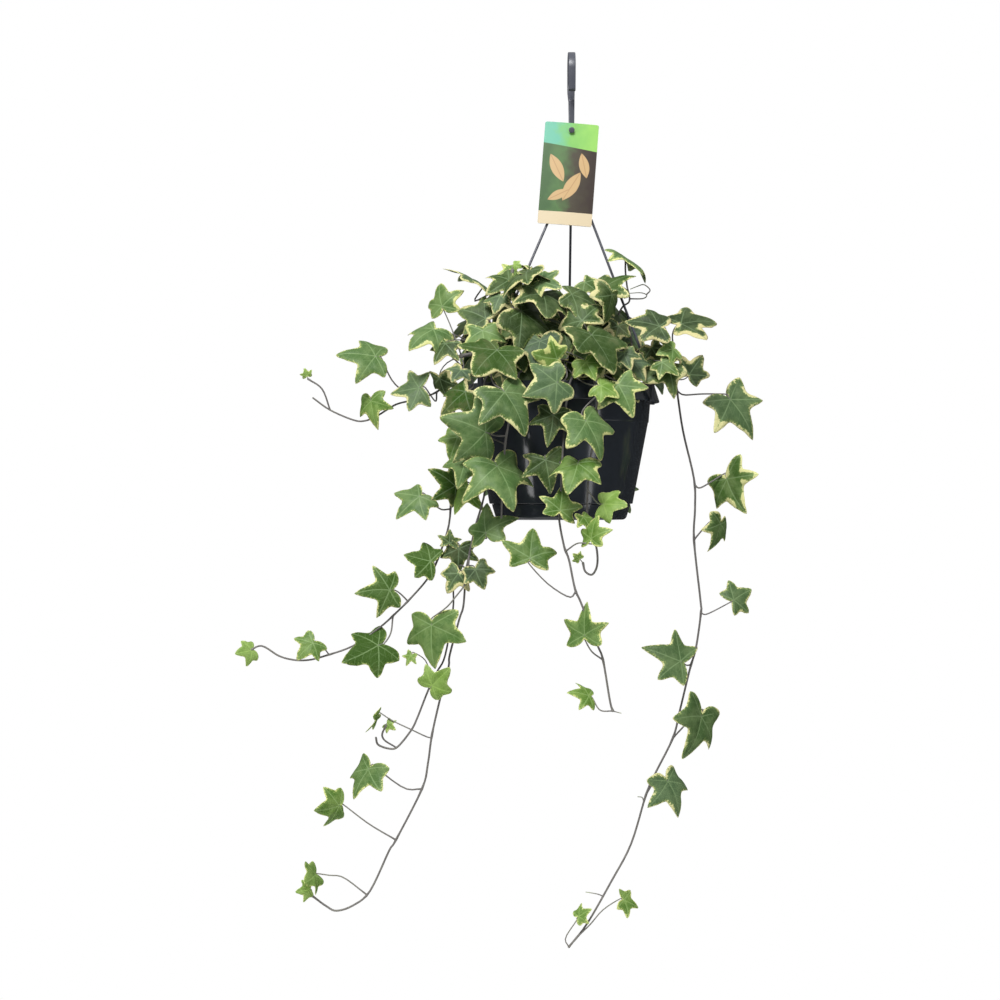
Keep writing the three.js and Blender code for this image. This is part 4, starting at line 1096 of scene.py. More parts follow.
def makeSoil():
    chance = random.Random(5)
    heap = Heap()
    profile = [(0, soilForm["bottom"]), (soilForm["lowRadius"], soilForm["bottom"] + 1.4),
               (soilForm["topRadius"], soilTop - 1.6)]
    for k in range(1, soilForm["rings"]):
        profile.append((soilForm["topRadius"] * (1 - k / soilForm["rings"]), soilTop))
    profile.append((0, soilTop))
    points, faces = latheShape(profile, soilForm["segments"])
    top = points[:, 2] > soilTop - 0.5
    rise = np.array([soilForm["lumps"] * hillock(x, y) for x, y, _ in points])
    dish = 0.9 * (np.hypot(points[:, 0], points[:, 1]) / soilForm["topRadius"]) ** 4
    points[:, 2] += np.where(top, rise + dish, 0)
    heap.add(shiftedX(points, potX), faces)
    for _ in range(soilForm["crumbs"]):
        radius = soilForm["topRadius"] * 0.95 * math.sqrt(chance.random())
        x, y, _ = polar(chance.uniform(0, 2 * math.pi), radius)
        size = chance.uniform(*soilForm["crumbSize"])
        lump, sides = latheShape([(0, -0.8), (0.62, -0.55), (0.95, 0), (0.55, 0.6), (0, 0.85)], 7)
        lump = lump * size * [chance.uniform(0.6, 1.2) for _ in range(3)]
        lump = lump * np.array([[chance.uniform(0.85, 1.15)] for _ in lump])
        lump = turnedZ(lump, chance.uniform(0, 360))
        height = soilTop + soilForm["lumps"] * hillock(x, y) + 0.25 * size
        heap.add(lump + (x + potX, y, height), sides)
    makePiece("peatSoil", heap, [peat], "soil")


# Hanger: hook, stem, hub, three arms, rim clips and the button that carries the tag

hangerForm = {
    "inner": 11.0,           # of the hook's bend
    "thick": 3.4,
    "hookWide": 5.6,
    "stemWide": 3.5,
    "stemThick": 3.4,
    "round": 0.75,
    "armRadius": 0.95,
    "armAngles": (217, 331, 84),
    "armSteps": 26,
    "armSides": 16,
    "armBow": 1.6,
    "armSwell": 0.35,        # thicker at the hub
    "armFade": 22,
    "armInto": 1.2,          # the clip
    "peg": -57.0,
    "clipWide": 5.0,
    "clipThick": 1.8,
    "clipHigh": 21.7,
    "clipOff": 0.65,         # outside the rim
    "toeReach": 2.8,
    "toe": (-2.55, -0.75),   # its underside and its top, from the rim's low edge
}


def hookOutline():                    # in the plane of the hook: depth and height
    inner, thick = hangerForm["inner"], hangerForm["thick"]
    outer, half = inner + thick, hangerForm["stemThick"] / 2

    def arc(radius, start, end, steps):
        return [(radius * math.cos(a), -inner + radius * math.sin(a))
                for a in np.linspace(start, end, steps + 1)]

    line = arc(outer, math.pi, 0, 40)
    line += bendOf((outer, -inner - 9), (outer, -inner - 17), (half, -inner - 25), 12)
    line += [(half, hubHeight), (-half, hubHeight)]
    line += bendOf((-half, -inner - 22), (inner - 1, -inner - 17), (inner, -inner - 8), 12)
    line += arc(inner, 0, math.pi, 40)
    line += [(-inner, -inner - 15.6), (-inner - 0.7, -inner - 17.4), (-inner - 1.9, -inner - 17.7),
             (-outer, -inner - 16)]
    return line


def makeHook():
    outline = hookOutline()
    count = len(outline)
    points = []
    for side in (-1, 1):
        for depth, height in outline:
            taper = min(1.0, max(0.0, (-height - 26) / 16))      # narrows below the bend
            wide = hangerForm["hookWide"] + taper * (hangerForm["stemWide"] - hangerForm["hookWide"])
            points.append((side * wide / 2, depth, height))
    faces = [tuple(range(count)), tuple(reversed(range(count, 2 * count)))]
    faces += [(k, count + k, count + (k + 1) % count, (k + 1) % count) for k in range(count)]
    hook = bareObject("hook", points, faces)
    bevel = hook.modifiers.new("edges", "BEVEL")
    bevel.width = hangerForm["round"] * mm
    bevel.segments = 3
    bevel.limit_method = "ANGLE"
    bevel.angle_limit = math.radians(50)
    applyModifiers(hook)
    return hook


def makeHanger():
    hanger = makeHook()
    hub = roundedProfile([(0, hubHeight - 6.5, 0), (2.2, hubHeight - 6, 0.8), (3.4, hubHeight - 3, 1.2),
                          (3.4, hubHeight + 2, 1.2), (2.2, hubHeight + 5, 1), (0, hubHeight + 5.4, 0)])
    parts = [latheShape(hub, 40)]
    peg = roundedProfile([(0, 0.7, 0), (1.3, 0.7, 0), (1.3, 5.9, 0.2), (2.2, 6.3, 0.5), (2.3, 7.15, 0.5),
                          (0, 7.3, 0)])
    points, faces = latheShape(peg, 32)
    parts.append((toFront(points) + (0, 0, hangerForm["peg"]), faces))
    armReach = rimRadius + gap + hangerForm["armInto"]
    start, upward = np.array((0.0, 0.0, hubHeight - 1)), np.array((0.0, 0.0, hangerForm["armBow"]))
    for degrees in hangerForm["armAngles"]:
        end = shiftedX(polar(math.radians(degrees), armReach, rimTop + 2), potX)
        path = [start + t * (end - start) + t * (1 - t) * upward
                for t in np.linspace(0, 1, hangerForm["armSteps"] + 1)]
        fade = np.exp(-np.linspace(0, hangerForm["armFade"], len(path)))
        radii = hangerForm["armRadius"] * (1 + hangerForm["armSwell"] * fade)
        points, faces, _ = sweepRod(path, radii, hangerForm["armSides"])
        parts.append((points, faces))
        parts += clipShapes(degrees)
    for points, faces in parts:
        cutWith(hanger, bareObject("part", points, faces), "UNION")
    hanger.name = hanger.data.name = "hookHanger"
    hanger.data.materials.clear()
    hanger.data.materials.append(hangerPlastic)
    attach(hanger, "root")
    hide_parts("hanger")
    smoothByAngle(hanger, 35)


def clipShapes(degrees):              # the back of a rim clip and its toe under the rim
    inner = rimRadius + hangerForm["clipOff"]
    outer = inner + hangerForm["clipThick"]
    half, high = hangerForm["clipWide"] / 2, hangerForm["clipHigh"] / 2
    middle = (rimTop + rimLow) / 2 + 1
    low, top = (rimLow + height for height in hangerForm["toe"])
    back = boxShape((inner, -half, middle - high), (outer, half, middle + high))
    toe = boxShape((inner - hangerForm["toeReach"], -half, low), (outer, half, top))
    return [(shiftedX(turnedZ(points, degrees), potX), faces) for points, faces in (back, toe)]


# Tag: a thin card with round corners that hangs by its hole on the button and leans on the arms

tagForm = {
    "wide": 41.0,
    "high": 80.3,
    "thick": 0.7,
    "corner": 1.2,
    "hole": 1.95,
    "holeDown": 5.8,         # of the hole's middle below the top edge
    "turn": 4.5,
    "lean": 9.0,
    "back": -4.0,
    "bow": 0.66,             # mm, how far the card's sides curl back
    "rows": 60,
    "columns": 32,
}


def curlAt(x):                        # how far back the card lies at x from its middle
    return tagForm["bow"] * (x / (tagForm["wide"] / 2)) ** 2


def cardShape():                      # upright, its hole's middle at the origin
    half, high = tagForm["wide"] / 2, tagForm["high"]
    top, corner = tagForm["holeDown"], tagForm["corner"]
    rows, columns = tagForm["rows"], tagForm["columns"]
    points = []
    for side in (1, 0):
        for z in np.linspace(top, top - high, rows + 1):
            for x in np.linspace(-half, half, columns + 1):
                cx, cz = x, z
                away = (max(0, abs(x) - (half - corner)),
                        max(0, abs(z - top + high / 2) - (high / 2 - corner)))
                size = math.hypot(*away)
                if size > corner:     # the corner points slide in onto the round corner
                    cx -= math.copysign(away[0] * (1 - corner / size), x)
                    cz -= math.copysign(away[1] * (1 - corner / size), z - top + high / 2)
                points.append((cx, curlAt(cx) - side * tagForm["thick"], cz))
    wide, sheet = columns + 1, (columns + 1) * (rows + 1)
    faces = []
    for r in range(rows):
        for c in range(columns):
            a = r * wide + c
            faces.append((a, a + wide, a + wide + 1, a + 1))
            faces.append((sheet + a, sheet + a + 1, sheet + a + wide + 1, sheet + a + wide))
    border = list(range(columns)) + [r * wide + columns for r in range(rows)]
    border += [rows * wide + c for c in range(columns, 0, -1)] + [r * wide for r in range(rows, 0, -1)]
    faces += [(a, b, sheet + b, sheet + a) for a, b in zip(border, border[1:] + border[:1])]
    return points, faces


def makeTag():
    heap = Heap()
    heap.add(*cardShape())
    card = makePiece("plainTag", heap, [cardMaterial()], "tag")
    hole, sides = drumShape(tagForm["hole"], -4, 4, 32)
    cutWith(card, bareObject("hole", toFront(hole), sides))
    places = np.empty(3 * len(card.data.vertices))
    card.data.vertices.foreach_get("co", places)
    x, y, z = places.reshape(-1, 3).T
    front = (y / mm < curlAt(x / mm) - 0.5 * tagForm["thick"]).astype(float)
    printed = card.data.attributes.new("cardPlace", "FLOAT_VECTOR", "POINT")
    fromTop = tagForm["holeDown"] - z / mm
    printed.data.foreach_set("vector", np.column_stack([x / mm, fromTop, front]).ravel())
    lean, turn = -math.radians(tagForm["lean"]), math.radians(tagForm["turn"])
    x, z = x * math.cos(turn) + z * math.sin(turn), z * math.cos(turn) - x * math.sin(turn)
    y, z = y * math.cos(lean) - z * math.sin(lean), y * math.sin(lean) + z * math.cos(lean)
    places = np.column_stack([x, y + tagForm["back"] * mm, z + hangerForm["peg"] * mm])
    card.data.vertices.foreach_set("co", places.ravel())
    smoothByAngle(card, 40)


makePot()
makeSaucer()
makeSoil()
print("pot, saucer and soil made")
makeHanger()
makeTag()
print("hanger and tag made")


# The front of the plant, leaf by leaf

crownFront = {
    "cream": 0.6, "full": 0.85,
    "foot": (0, -10), "radius": 2.2, "tipRadius": 1,
    "shoots": [
        [(-8, -246, -12), (-12, -226, -36), (-13, -222, -56), (-12, -230, -72)],
        [(-30, -234, -28), (-52, -226, -42), (-72, -226, -46), (-90, -230, -42)],
        [(12, -228, -32), (24, -222, -50), (30, -232, -66)],
        [(-22, -214, -22), (-36, -192, -38), (-46, -176, -38), (-45, -163, -37)],
        [(-6, -212, -22), (-8, -192, -34)],
        [(10, -216, -16), (20, -196, -22), (26, -184, -26)],
    ],
    "leaves": [
        leaf((-65, -200, -45), (-23, 10, 6), -28, 0.9),
        leaf((-39, -193.7, -62), (30.9, -21.5, 4.9), 48, 0.95),
        leaf((-21.8, -180.3, -57), (3.4, -18, -23.4), 26, 0.95),
        leaf((-24, -216.5, -70), (-4, -22, -16), -15, 1),
        leaf((-56.4, -223.5, -80), (-18.5, -18.9, -23.9), -20, 0.85, hue=0.93),
        leaf((-68, -208.5, -66), (2, -20, -12), -5, 0.45),
        leaf((-70.7, -172.7, -26), (-26.4, 15, -4), -84, 0.8, shoot=3, via=[(-73.2, -186.4, -30)]),
        leaf((-43.7, -159.1, -26), (6, -1, -3), 10, 0),
        leaf((-30, -163.5, -39), (28, -12, 2), 76, 0.95),
        leaf((-33, -163.5, -52), (-24, -13, -8), -76, 0.9),
        leaf((-44, -163, -14), (-14, -3, -4), -41, 0.3),
        leaf((-47, -170, -42), (-19, -9, -10), -33, 0.85),
        leaf((-54, -182, -48), (-6, -14, -8), -15, 0.8),
        leaf((-24, -171, -54), (16, -3, -12), 33, 0.6),
        leaf((-29, -166, -27), (-4, -8, -14), 10, 0.4),
        leaf((-0.6, -181.1, -54), (25.8, -7.3, 0.1), 47, 0.9),
        leaf((10, -172, -32), (12, -8, -4), 30, 0.7),
        leaf((8.4, -202, -66), (-11, 18.5, 8.4), 0, 0.85),
        leaf((14.9, -211.6, -80), (22.2, -25.2, -17), 50, 0.9),
        leaf((15.7, -225.4, -74), (7.6, -18.3, -14), 10, 0.75),
        leaf((40, -226, -66), (6, -13, -8), 10, 1),
        leaf((35.5, -249.8, -86), (12.2, -23, -12), 10, 0.5),
        leaf((11, -233, -88), (8, -14, -6), 15, 0.3),
        leaf((22, -251, -92), (16, -7, -4), 36, 0.25),
        leaf((31, -181, -50), (-4, -25, -9), 56, 0.9),
        leaf((31, -175, -27), (8, -3, -5), 20, 0.1),
        leaf((37.5, -178, -28), (4, -6, -3), 20, 0.2),
        leaf((23, -177.7, -31), (24, 17, 2), 52, 0.75),
        leaf((-10.3, -248.3, -98), (-26.5, -9.9, -6), -8, 0.75, on=(-12, -222, -56)),
        leaf((-10.3, -230.7, -86), (-22, 4, 2), 18, 0.35, cream=1),
        leaf((-84, -238.6, -56), (-8, -9, -8), -20, 0.95),
        leaf((-80.6, -255.2, -70), (-21.8, -16.5, -5.2), -36, 1, hue=1.0),
        leaf((-51.6, -255.2, -98), (21, -28, -14), 36, 0.7, hue=0.3),
        leaf((-50, -240, -70), (-2, -9, -6), 0, 1),
        leaf((-96, -218.5, -47), (-10, -16, -6), -33, 0.9),
        leaf((-101, -245, -36), (6, -19, 4), -52, 1),
        leaf((-98.6, -191, -35), (-4.2, 19.9, 5.2), 23, 0.45, on=(-86.7, -216, -42)),
        leaf((-105, -207.8, -38), (-19.7, -10.7, -14.4), -40, 0.5),
    ],
}

vineFrontLeft = {
    "cream": 0.4, "full": 0.5,
    "foot": (-14, -34), "radius": 1.2, "tipRadius": 0.7,
    "shoots": [
        [(-38, -240, -64), (-42, -254, -76), (-48, -280, -77), (-51, -300, -77), (-53, -335, -76),
         (-53.5, -352, -75)],
    ],
    "leaves": [
        leaf((-64.6, -287, -86), (-36, 14, -6), -10, 0.6),
        leaf((-86.7, -289.6, -72), (-7, -17.5, -4), -10, 0.5),
        leaf((-80.6, -308, -76), (-7.6, -22, -4), -10, 0.5),
        leaf((-57.3, -311.7, -85), (16.4, -32.9, -17.1), 36, 0.5),
    ],
}

vineFront = {
    "cream": 0.45, "full": 0.5,
    "foot": (10, -36), "radius": 1.2, "tipRadius": 0.7,
    "shoots": [
        [(13, -241, -73), (19, -255, -84), (19, -285, -84), (14, -310, -83), (12, -350, -84),
         (16, -363, -84), (19.5, -377.4, -84), (19.5, -388.9, -84), (15.7, -395.5, -84),
         (10.5, -393, -84), (8.8, -386.6, -84)],
    ],
    "leaves": [
        leaf((10.7, -277.3, -98), (16.4, -29, -7.1), 33, 0.5, on=(19, -258, -84)),
        leaf((5, -309.8, -96), (-9.2, -21.8, -19.2), -24, 0.45),
        leaf((24.1, -341.5, -92), (19.1, 0, -10.4), 26, 0.1, on=(11, -330, -84)),
        leaf((8.8, -351, -92), (7.6, -10.7, -4), 38, 0.3),
        leaf((6, -383.4, -86), (-5, 4, -3), 0, 0.2),
    ],
}

vineCentre = {
    "cream": 0.3,
    "foot": (-2, -30), "radius": 1.2, "tipRadius": 0.7,
    "shoots": [
        [(2, -243, -56), (0, -246, -76), (-3, -256, -84), (-6, -290, -84), (-8, -330, -84),
         (-9.6, -350.7, -84), (-5.7, -373.6, -84), (-1.9, -384.3, -84), (2.7, -406.4, -84),
         (7.3, -417.1, -84), (19.5, -448.5, -82), (24.1, -460.7, -82), (29.4, -492, -80),
         (31.7, -499.7, -80)],
    ],
    "tendrils": [
        [(34, -500.4, -80), (38, -501.4, -80)],
    ],
    "leaves": [
        leaf((-14, -273, -88), (-5, -25, -8), -8, 0.95),
        leaf((-20, -307, -84), (5, -26, -6), 6, 0.9),
        leaf((-8.8, -346.9, -92), (3.8, 22.2, 8.2), -14, 0.45),
        leaf((15.2, -368.5, -102), (1.5, 20, 2), 46, 0.3, on=(-4.2, -376.7, -84), via=[(5, -371.5, -95)]),
        leaf((-31.6, -383.5, -90), (2.9, 25.4, 8.3), -5, 0.55, on=(2.7, -409, -84),
             via=[(-2, -412.6, -85), (-18, -402.6, -86)]),
        leaf((10.1, -442.4, -87), (-0.9, 26.6, -0.2), 33, 0.4, on=(24.1, -460.7, -82),
             via=[(15.7, -454.5, -84)]),
        leaf((13.6, -488.2, -84), (-16, 4.7, -7), -45, 0.3, on=(31.7, -499.7, -80),
             via=[(21.8, -499, -82)]),
    ],
}

vineLongLeft = {
    "foot": (-22, -22), "radius": 1.2, "tipRadius": 0.7,
    "shoots": [
        [(-40, -240, -34), (-59, -240, -51), (-67, -252, -60), (-67, -290, -61), (-66, -330, -62),
         (-73.7, -359.8, -62), (-79.8, -388.9, -60), (-81, -397, -59), (-82.5, -419, -58),
         (-85.7, -429.6, -57), (-93, -456.9, -56), (-93.9, -466, -55), (-100.2, -489.7, -52),
         (-106.6, -518, -50), (-109.6, -539.4, -48), (-114.2, -559.2, -46), (-134.1, -598.2, -42),
         (-139.4, -606.6, -41), (-153.9, -637.2, -38), (-167, -648.3, -36), (-179.5, -652.3, -35),
         (-187.3, -648.8, -34), (-198, -641, -34)],
        [(-85.5, -389, -56), (-90, -404, -52), (-90.5, -422, -50), (-96.4, -456.9, -50),
         (-102.8, -470, -49), (-109.6, -484.2, -48), (-117.8, -505, -48), (-122.6, -514.6, -48),
         (-132.3, -526.6, -48), (-138.3, -528.6, -48), (-147.5, -525.6, -48), (-149.4, -520, -48)],
        [(-134.8, -527.1, -48), (-142.6, -522.2, -50), (-144.6, -517.4, -52), (-141.6, -510.6, -54)],
    ],
    "leaves": [
        leaf((-65.5, -364.1, -74), (-2, 26.1, 10.8), 27, 0.6),
        leaf((-73.5, -391, -68), (7, -15.5, -4), 0, 1, full=1, cream=0.6),
        leaf((-86, -394, -64), (-9.5, -15.5, -4), -10, 0.9, full=1, cream=0.8),
        leaf((-106.8, -433, -64), (0.6, -36.1, -2.6), -26, 0.45, on=(-77, -380, -61),
             via=[(-80, -400, -66), (-89, -413, -69), (-96, -421, -70)]),
        leaf((-106.8, -480.8, -61), (14.4, 14.3, -3), 0, 0.1, shoot=1),
        leaf((-122.5, -456.9, -56), (-5, -8, -2), -36, 0.3, shoot=1, on=(-107, -480, -48),
             via=[(-111, -462, -52)]),
        leaf((-140.6, -509.6, -54), (6.4, -5, -2), 0, 0.2, shoot=2),
        leaf((-148, -503.3, -55), (-6.9, -14.5, -8), 82, 0.35, on=(-106.6, -518, -50),
             via=[(-109, -520, -50), (-122.6, -513.8, -55), (-137, -507, -54)]),
        leaf((-154.6, -543.4, -48), (-14.7, -22.9, -5.7), -44, 0.5, on=(-114.2, -560, -46),
             via=[(-128, -558.5, -46), (-149.4, -543, -47)]),
        leaf((-176.9, -571.9, -44), (-18.5, -4.6, -14), 8, 0.4, on=(-134.5, -599, -42),
             via=[(-154.7, -586, -43)], full=1),
        leaf((-195.6, -624.5, -40), (-6.5, -6, -17), 5, 0.25, on=(-156.5, -638.2, -38),
             via=[(-174, -627, -38), (-185, -625.2, -39)], full=1),
        leaf((-200, -636, -36), (-11, -2, -6), -10, 0.1),
    ],
}

vineLowerLeft = {
    "foot": (-30, -8), "radius": 1.2, "tipRadius": 0.65,
    "shoots": [
        [(-50, -240, -14), (-75.6, -242, -28), (-86, -254, -34), (-90, -275, -38), (-92, -310, -41),
         (-92.8, -351.4, -42), (-98.9, -375, -42), (-108, -395.8, -42), (-122.6, -413.3, -42),
         (-136.4, -427, -42), (-147, -436.2, -42), (-167, -450, -40), (-188.3, -457.6, -38),
         (-200.5, -460.7, -38), (-212, -460.7, -38), (-223.5, -457.6, -38), (-236.5, -450, -38),
         (-246, -453.6, -39)],
    ],
    "leaves": [
        leaf((-88.2, -328.3, -48), (-19.3, 15.4, -10), -36, 1, hue=1.0),
        leaf((-79.8, -328.5, -52), (-11.3, -21.5, -2), -39, 0.3),
        leaf((-86, -375, -50), (-2, -21, -2), -10, 1),
        leaf((-93.5, -371.5, -50), (1.5, 12.5, 4), -10, 0.9),
        leaf((-115.7, -335.4, -50), (-20, -16, -6), -33, 0.5, on=(-92.1, -345.3, -42),
             via=[(-101, -345, -45)]),
        leaf((-107.1, -385.4, -52), (-21.3, 6.8, -0.1), -31, 0.5, hue=0.97, full=1, cream=0),
        leaf((-138.1, -407.2, -50), (-26.7, -1.5, -8), -9, 0.55, on=(-124, -415, -42), hue=0.92),
        leaf((-146.9, -449.2, -50), (-29.3, -12.5, -8.6), -33, 0.55, on=(-136.4, -427, -42),
             via=[(-138, -440, -46)], hue=1.0, full=0.9, cream=0),
        leaf((-197.3, -447.3, -46), (-12.7, -12.1, -7.3), -11, 0.4, on=(-184, -456.3, -38)),
        leaf((-243.7, -453.1, -39), (-13.4, -2.5, -8), -20, 0.1),
    ],
}

vineUpperLeft = {
    "cream": 0.5,
    "foot": (-34, 10), "radius": 1.2, "tipRadius": 0.6,
    "shoots": [
        [(-66, -243, 6), (-86, -243, 2), (-103, -256, -8), (-118, -261.5, -16), (-134, -265.5, -20),
         (-148, -274, -20), (-157.8, -278, -20), (-166.9, -277.3, -20), (-184.5, -269.7, -20),
         (-197.5, -260.5, -20)],
        [(-185, -268, -20), (-190.6, -253.6, -20), (-201.3, -246, -20)],
    ],
    "leaves": [
        leaf((-149, -228.8, -28), (-30.8, 5.4, -6.3), -39, 0.5, on=(-120, -262, -16),
             via=[(-136.4, -248, -22)]),
        leaf((-153.3, -262.1, -26), (2.1, -23.1, -4.2), -30, 0.3, on=(-138, -268, -20)),
        leaf((-115.7, -252.6, -34), (-24.7, -3.4, 4), -28, 0.75, on=(-103, -256, -8),
             via=[(-104, -263, -20)], hue=0.15),
        leaf((-202, -243.5, -20), (-2, 6, -2), -10, 0.1, shoot=1),
    ],
}

vineLongRight = {
    "cream": 0.45, "full": 0.3,
    "foot": (34, -4), "radius": 1.25, "tipRadius": 0.7,
    "shoots": [
        [(48, -238, -6), (68, -239, -8), (79, -248, -8), (80.6, -255, -8), (85.2, -285.7, -8),
         (93.6, -322.4, -8), (94.4, -345, -8), (93.6, -369, -8), (98.6, -415.6, -7), (98.9, -424.8, -7),
         (95.1, -451.5, -6), (90.5, -467.6, -5), (82.9, -498.9, -4), (77.5, -520.3, -3),
         (63.8, -547.8, -2), (56.9, -563.8, -1), (45.5, -601.3, 1), (30.2, -630.3, 2), (11.8, -662.4, 3),
         (-2, -680, 3)],
    ],
    "tendrils": [
        [(20, -639.6, 2), (11, -638, 2)],
        [(54, -565.8, -1), (50.6, -565.2, -1)],
    ],
    "leaves": [
        leaf((120.8, -260.8, -16), (21.7, -29, -6.3), 23, 0.75, on=(80.6, -255, -8),
             via=[(86, -258.2, -9), (99.7, -257.5, -12)], hue=0.2, cream=1, full=0),
        leaf((118.3, -321.6, -14), (12.8, -28, -14.5), -40, 0.6, on=(94, -327, -8),
             via=[(98, -329.3, -9), (106.6, -324.7, -11)], hue=0.4, cream=1.2),
        leaf((114, -356, -12), (-4, -23.5, -4), 50, 0.7, on=(93.6, -367, -8)),
        leaf((123.6, -415.2, -10), (15, 8.9, 7.8), 7, 0.75, on=(98.9, -424, -7),
             via=[(104, -425.5, -8)], full=1),
        leaf((84.2, -462.1, -16), (-27.4, 14.7, -6.6), -34, 0.7),
        leaf((99.4, -502.9, -14), (-7.7, -34.8, -15.5), 42, 0.72, on=(77.5, -519, -3),
             via=[(88.2, -509, -8)]),
        leaf((73.2, -552.4, -10), (13.8, -27.1, -4.5), 39, 0.75, on=(57.5, -563, -1)),
        leaf((39.8, -644.1, -6), (13.3, -5.3, 5.4), 40, 0.3, on=(5, -671.5, 3),
             via=[(14.1, -663, 0), (24, -651.7, -3)]),
        leaf((5.5, -656.9, -2), (9.9, 6.4, -4.1), 33, 0.2, on=(-2, -679, 3),
             via=[(-4.5, -673, 2), (4.2, -659.3, 0)]),
    ],
}

vineRight = {
    "cream": 0.6, "full": 0.7,
    "foot": (30, -20), "radius": 1.4, "tipRadius": 0.8,
    "shoots": [
        [(34, -238, -18), (54, -232, -22), (72, -228, -26), (84, -232, -32)],
        [(46, -220, -18), (44, -206, -18)],
    ],
    "leaves": [
        leaf((68.2, -206, -52), (-27.4, 7.3, -0.5), -43, 1, on=(76, -229, -28), via=[(74, -217, -40)],
             hue=0.38, full=0.8, cream=0.8),
        leaf((82.9, -204, -44), (29, 6.5, 3.1), 52, 1, hue=0.42, full=1, cream=1.2),
        leaf((78, -223, -53), (-13, -3, -5), -25, 0.4),
        leaf((73.7, -234.6, -48), (-20, -13.8, -6), -25, 0.8),
        leaf((69, -233, -56), (13.8, -9, -6), 20, 0.6),
        leaf((89.8, -243, -44), (10.7, 15.3, -5), 0, 1),
        leaf((44, -210, -16), (10, -14, -4), 15, 1),
        leaf((61, -222, -42), (8, -13, -5), 10, 1),
        leaf((47, -233, -55), (10, -14, -6), 10, 1),
        leaf((36, -205, -32), (-2, -15, -6), 10, 1),
    ],
}

vineUpperRight = {
    "cream": 0.6,
    "foot": (24, 4), "radius": 1.2, "tipRadius": 0.6,
    "shoots": [
        [(22, -235, -2), (30, -212, -6), (38, -192.4, -12), (44.3, -186.4, -12), (42.4, -174.8, -11),
         (41.2, -163.1, -11), (41.4, -156, -12)],
    ],
    "tendrils": [
        [(54.6, -184.6, -12), (57.5, -182, -12), (53.1, -180.2, -12), (43.9, -180.6, -12)],
        [(60, -178, -12), (55.5, -174, -12), (51, -175, -12), (45, -177.4, -12)],
    ],
    "leaves": [
        leaf((41.6, -153.2, -10), (15.7, -10.7, -22.9), 78, 0.5, on=(41.4, -156, -12)),
        leaf((30, -222, 6), (14, -13, -6), 20, 1),
        leaf((44, -214, 2), (15, -12, -6), 20, 1),
        leaf((24, -205, 4), (-8, -14, -6), 0, 1),
    ],
}


# Leaves at the back, by a rule: on a half dome behind the hanger, a golden angle apart

backDome = {
    "centre": (-12, 6, -250),
    "reach": (82, 72, 72),
    "golden": 0.618034,
    "lane": (1.1, 1.85),     # turns between which the hanger's third arm passes
}


def onDome(turn, lift):               # the unit vector at that turn and lift
    return polar(turn, math.cos(lift), math.sin(lift))


def backLeaves(count, seed):
    draw = draws(seed)
    leaves = []
    for i in range(count):
        turn = math.pi * (0.1 + 0.82 * ((i * backDome["golden"]) % 1))
        under = 0.7 if backDome["lane"][0] < turn < backDome["lane"][1] else 1
        out = onDome(turn, math.asin(0.17 + 0.76 * (i + 0.5) / count))
        swell = under * (0.92 + 0.14 * draw())
        start = np.array(backDome["centre"]) + out * np.array(backDome["reach"]) * swell
        direction = unit(np.array((0.5 * draw() - 0.25, 0.4 * draw(), -0.9)) + 0.6 * out)
        face = out + np.array((0.4 * draw() - 0.2, 0.2, 0.25))
        pose = squarePose(start, direction, face, 24 + 9 * draw())
        leaves.append({"pose": pose, "age": 0.35 + 0.6 * draw()})
    return leaves


# Leaves inside the mound, which close the gaps between the outer ones; a high age darkens them as painted
# shade
innerDome = {
    "centre": (-14, 0, -256),
    "reach": (86, 62, 80),
    "swell": (0.45, 0.99),
    "armClear": 9.0,         # mm between a leaf's middle and an arm of the hanger
    "rimNear": 36.0,         # mm above the rim, below which a leaf counts as near it
    "rimReach": 52.0,        # how far from the pot's axis those near the rim may start
}


def armDistance(point):
    hub, least = np.array((0.0, 0.0, hubHeight)), 1e9
    for degrees in hangerForm["armAngles"]:
        way = shiftedX(polar(math.radians(degrees), rimRadius + 1, rimTop), potX) - hub
        t = np.clip((point - hub).dot(way) / way.dot(way), 0, 1)
        least = min(least, np.linalg.norm(point - hub - t * way))
    return least


def innerLeaves(count, seed, hand):   # hand is -1 for the front half and 1 for the back
    draw = draws(seed)
    leaves, tries = [], 0
    low, high = innerDome["swell"]
    while len(leaves) < count:
        tries += 1
        turn = hand * math.pi * (0.02 + 0.96 * ((tries * backDome["golden"]) % 1))
        out = onDome(turn, math.asin(0.04 + 0.84 * draw()))
        start = np.array(innerDome["centre"]) + out * innerDome["reach"] * (low + (high - low) * draw())
        direction = unit(np.array((1.2 * draw() - 0.6, 0.6 * draw() * hand, -0.9)) + 0.5 * out)
        face = out + np.array((0.7 * draw() - 0.35, 0.3 * hand, 0.5 * draw()))
        pose = squarePose(start, direction, face, 22 + 10 * draw())
        # an age near 1 gives them the darkest green: painted shade for the inside of the mound
        age = 0.82 + 0.18 * draw()
        middle = start + 0.4 * pose["length"] * direction
        atRim = start[2] < rimTop + innerDome["rimNear"]
        if atRim and abs(start[0] - potX) > innerDome["rimReach"]:
            continue
        if armDistance(middle) > innerDome["armClear"]:
            leaves.append({"pose": pose, "age": age})
    return leaves


crownFront["inner"] = innerLeaves(108, 31, -1)

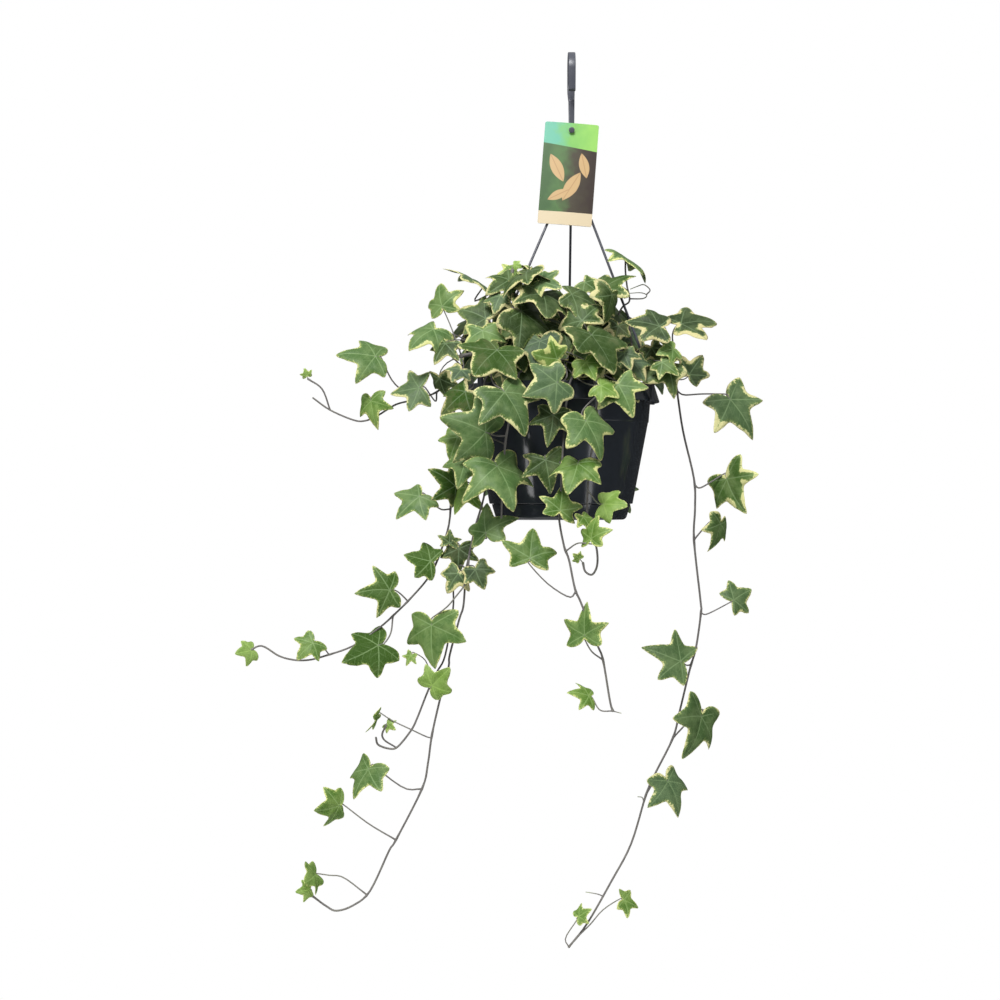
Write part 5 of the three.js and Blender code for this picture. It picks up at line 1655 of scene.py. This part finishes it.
crownBack = {
    "cream": 0.5, "full": 0.65,
    "inner": innerLeaves(52, 37, 1),
    "foot": (-2, 16), "radius": 2.2, "tipRadius": 1,
    "shoots": [
        [(-10, -246, 18), (-10, -225, 32), (-12, -215, 48), (-12, -222, 62)],
        [(-30, -230, 24), (-50, -218, 34), (-62, -226, 44)],
        [(12, -228, 24), (32, -218, 32), (44, -226, 42)],
        [(-24, -212, 26), (-34, -196, 30)],
        [(0, -212, 26), (8, -196, 30)],
    ],
    "leaves": backLeaves(18, 70),
}


def backVine(foot, side, seed):       # a short stem over the back of the rim
    draw = draws(seed)
    top = potX + side * 34
    route = [(top, -248, 58), (top + side, -250, 74), (top + side * 2, -260, 83),
             (top + side * 2, -290, 85), (top + side, -320, 84), (top - side, -345, 83)]
    leaves = []
    for i in range(5):
        hand = 1 if i % 2 == 0 else -1
        start = np.array((top + hand * (9 + 3 * draw()), 93 + 3 * draw(), -262 - 17 * i))
        direction = unit(np.array((hand * (0.35 + 0.4 * draw()), 0.15, -0.8)))
        pose = squarePose(start, direction, np.array((hand * 0.15, 1, 0.3 * draw())), 20 + 7 * draw())
        leaves.append({"pose": pose, "age": 0.3 + 0.5 * draw()})
    return {"foot": foot, "radius": 1.2, "tipRadius": 0.7, "shoots": [route], "leaves": leaves}


plants = {
    "crown_front": ("crownFront", crownFront),
    "crown_back": ("crownBack", crownBack),
    "vine_front_left": ("vineFrontLeft", vineFrontLeft),
    "vine_front": ("vineFront", vineFront),
    "vine_centre": ("vineCentre", vineCentre),
    "vine_long_left": ("vineLongLeft", vineLongLeft),
    "vine_lower_left": ("vineLowerLeft", vineLowerLeft),
    "vine_upper_left": ("vineUpperLeft", vineUpperLeft),
    "vine_long_right": ("vineLongRight", vineLongRight),
    "vine_right": ("vineRight", vineRight),
    "vine_upper_right": ("vineUpperRight", vineUpperRight),
    "vine_back_left": ("vineBackLeft", backVine((-20, 30), -1, 71)),
    "vine_back_right": ("vineBackRight", backVine((22, 30), 1, 73)),
}

for order, (node, (name, plant)) in enumerate(plants.items()):
    growPlant(name, node, plant, 11 + order)
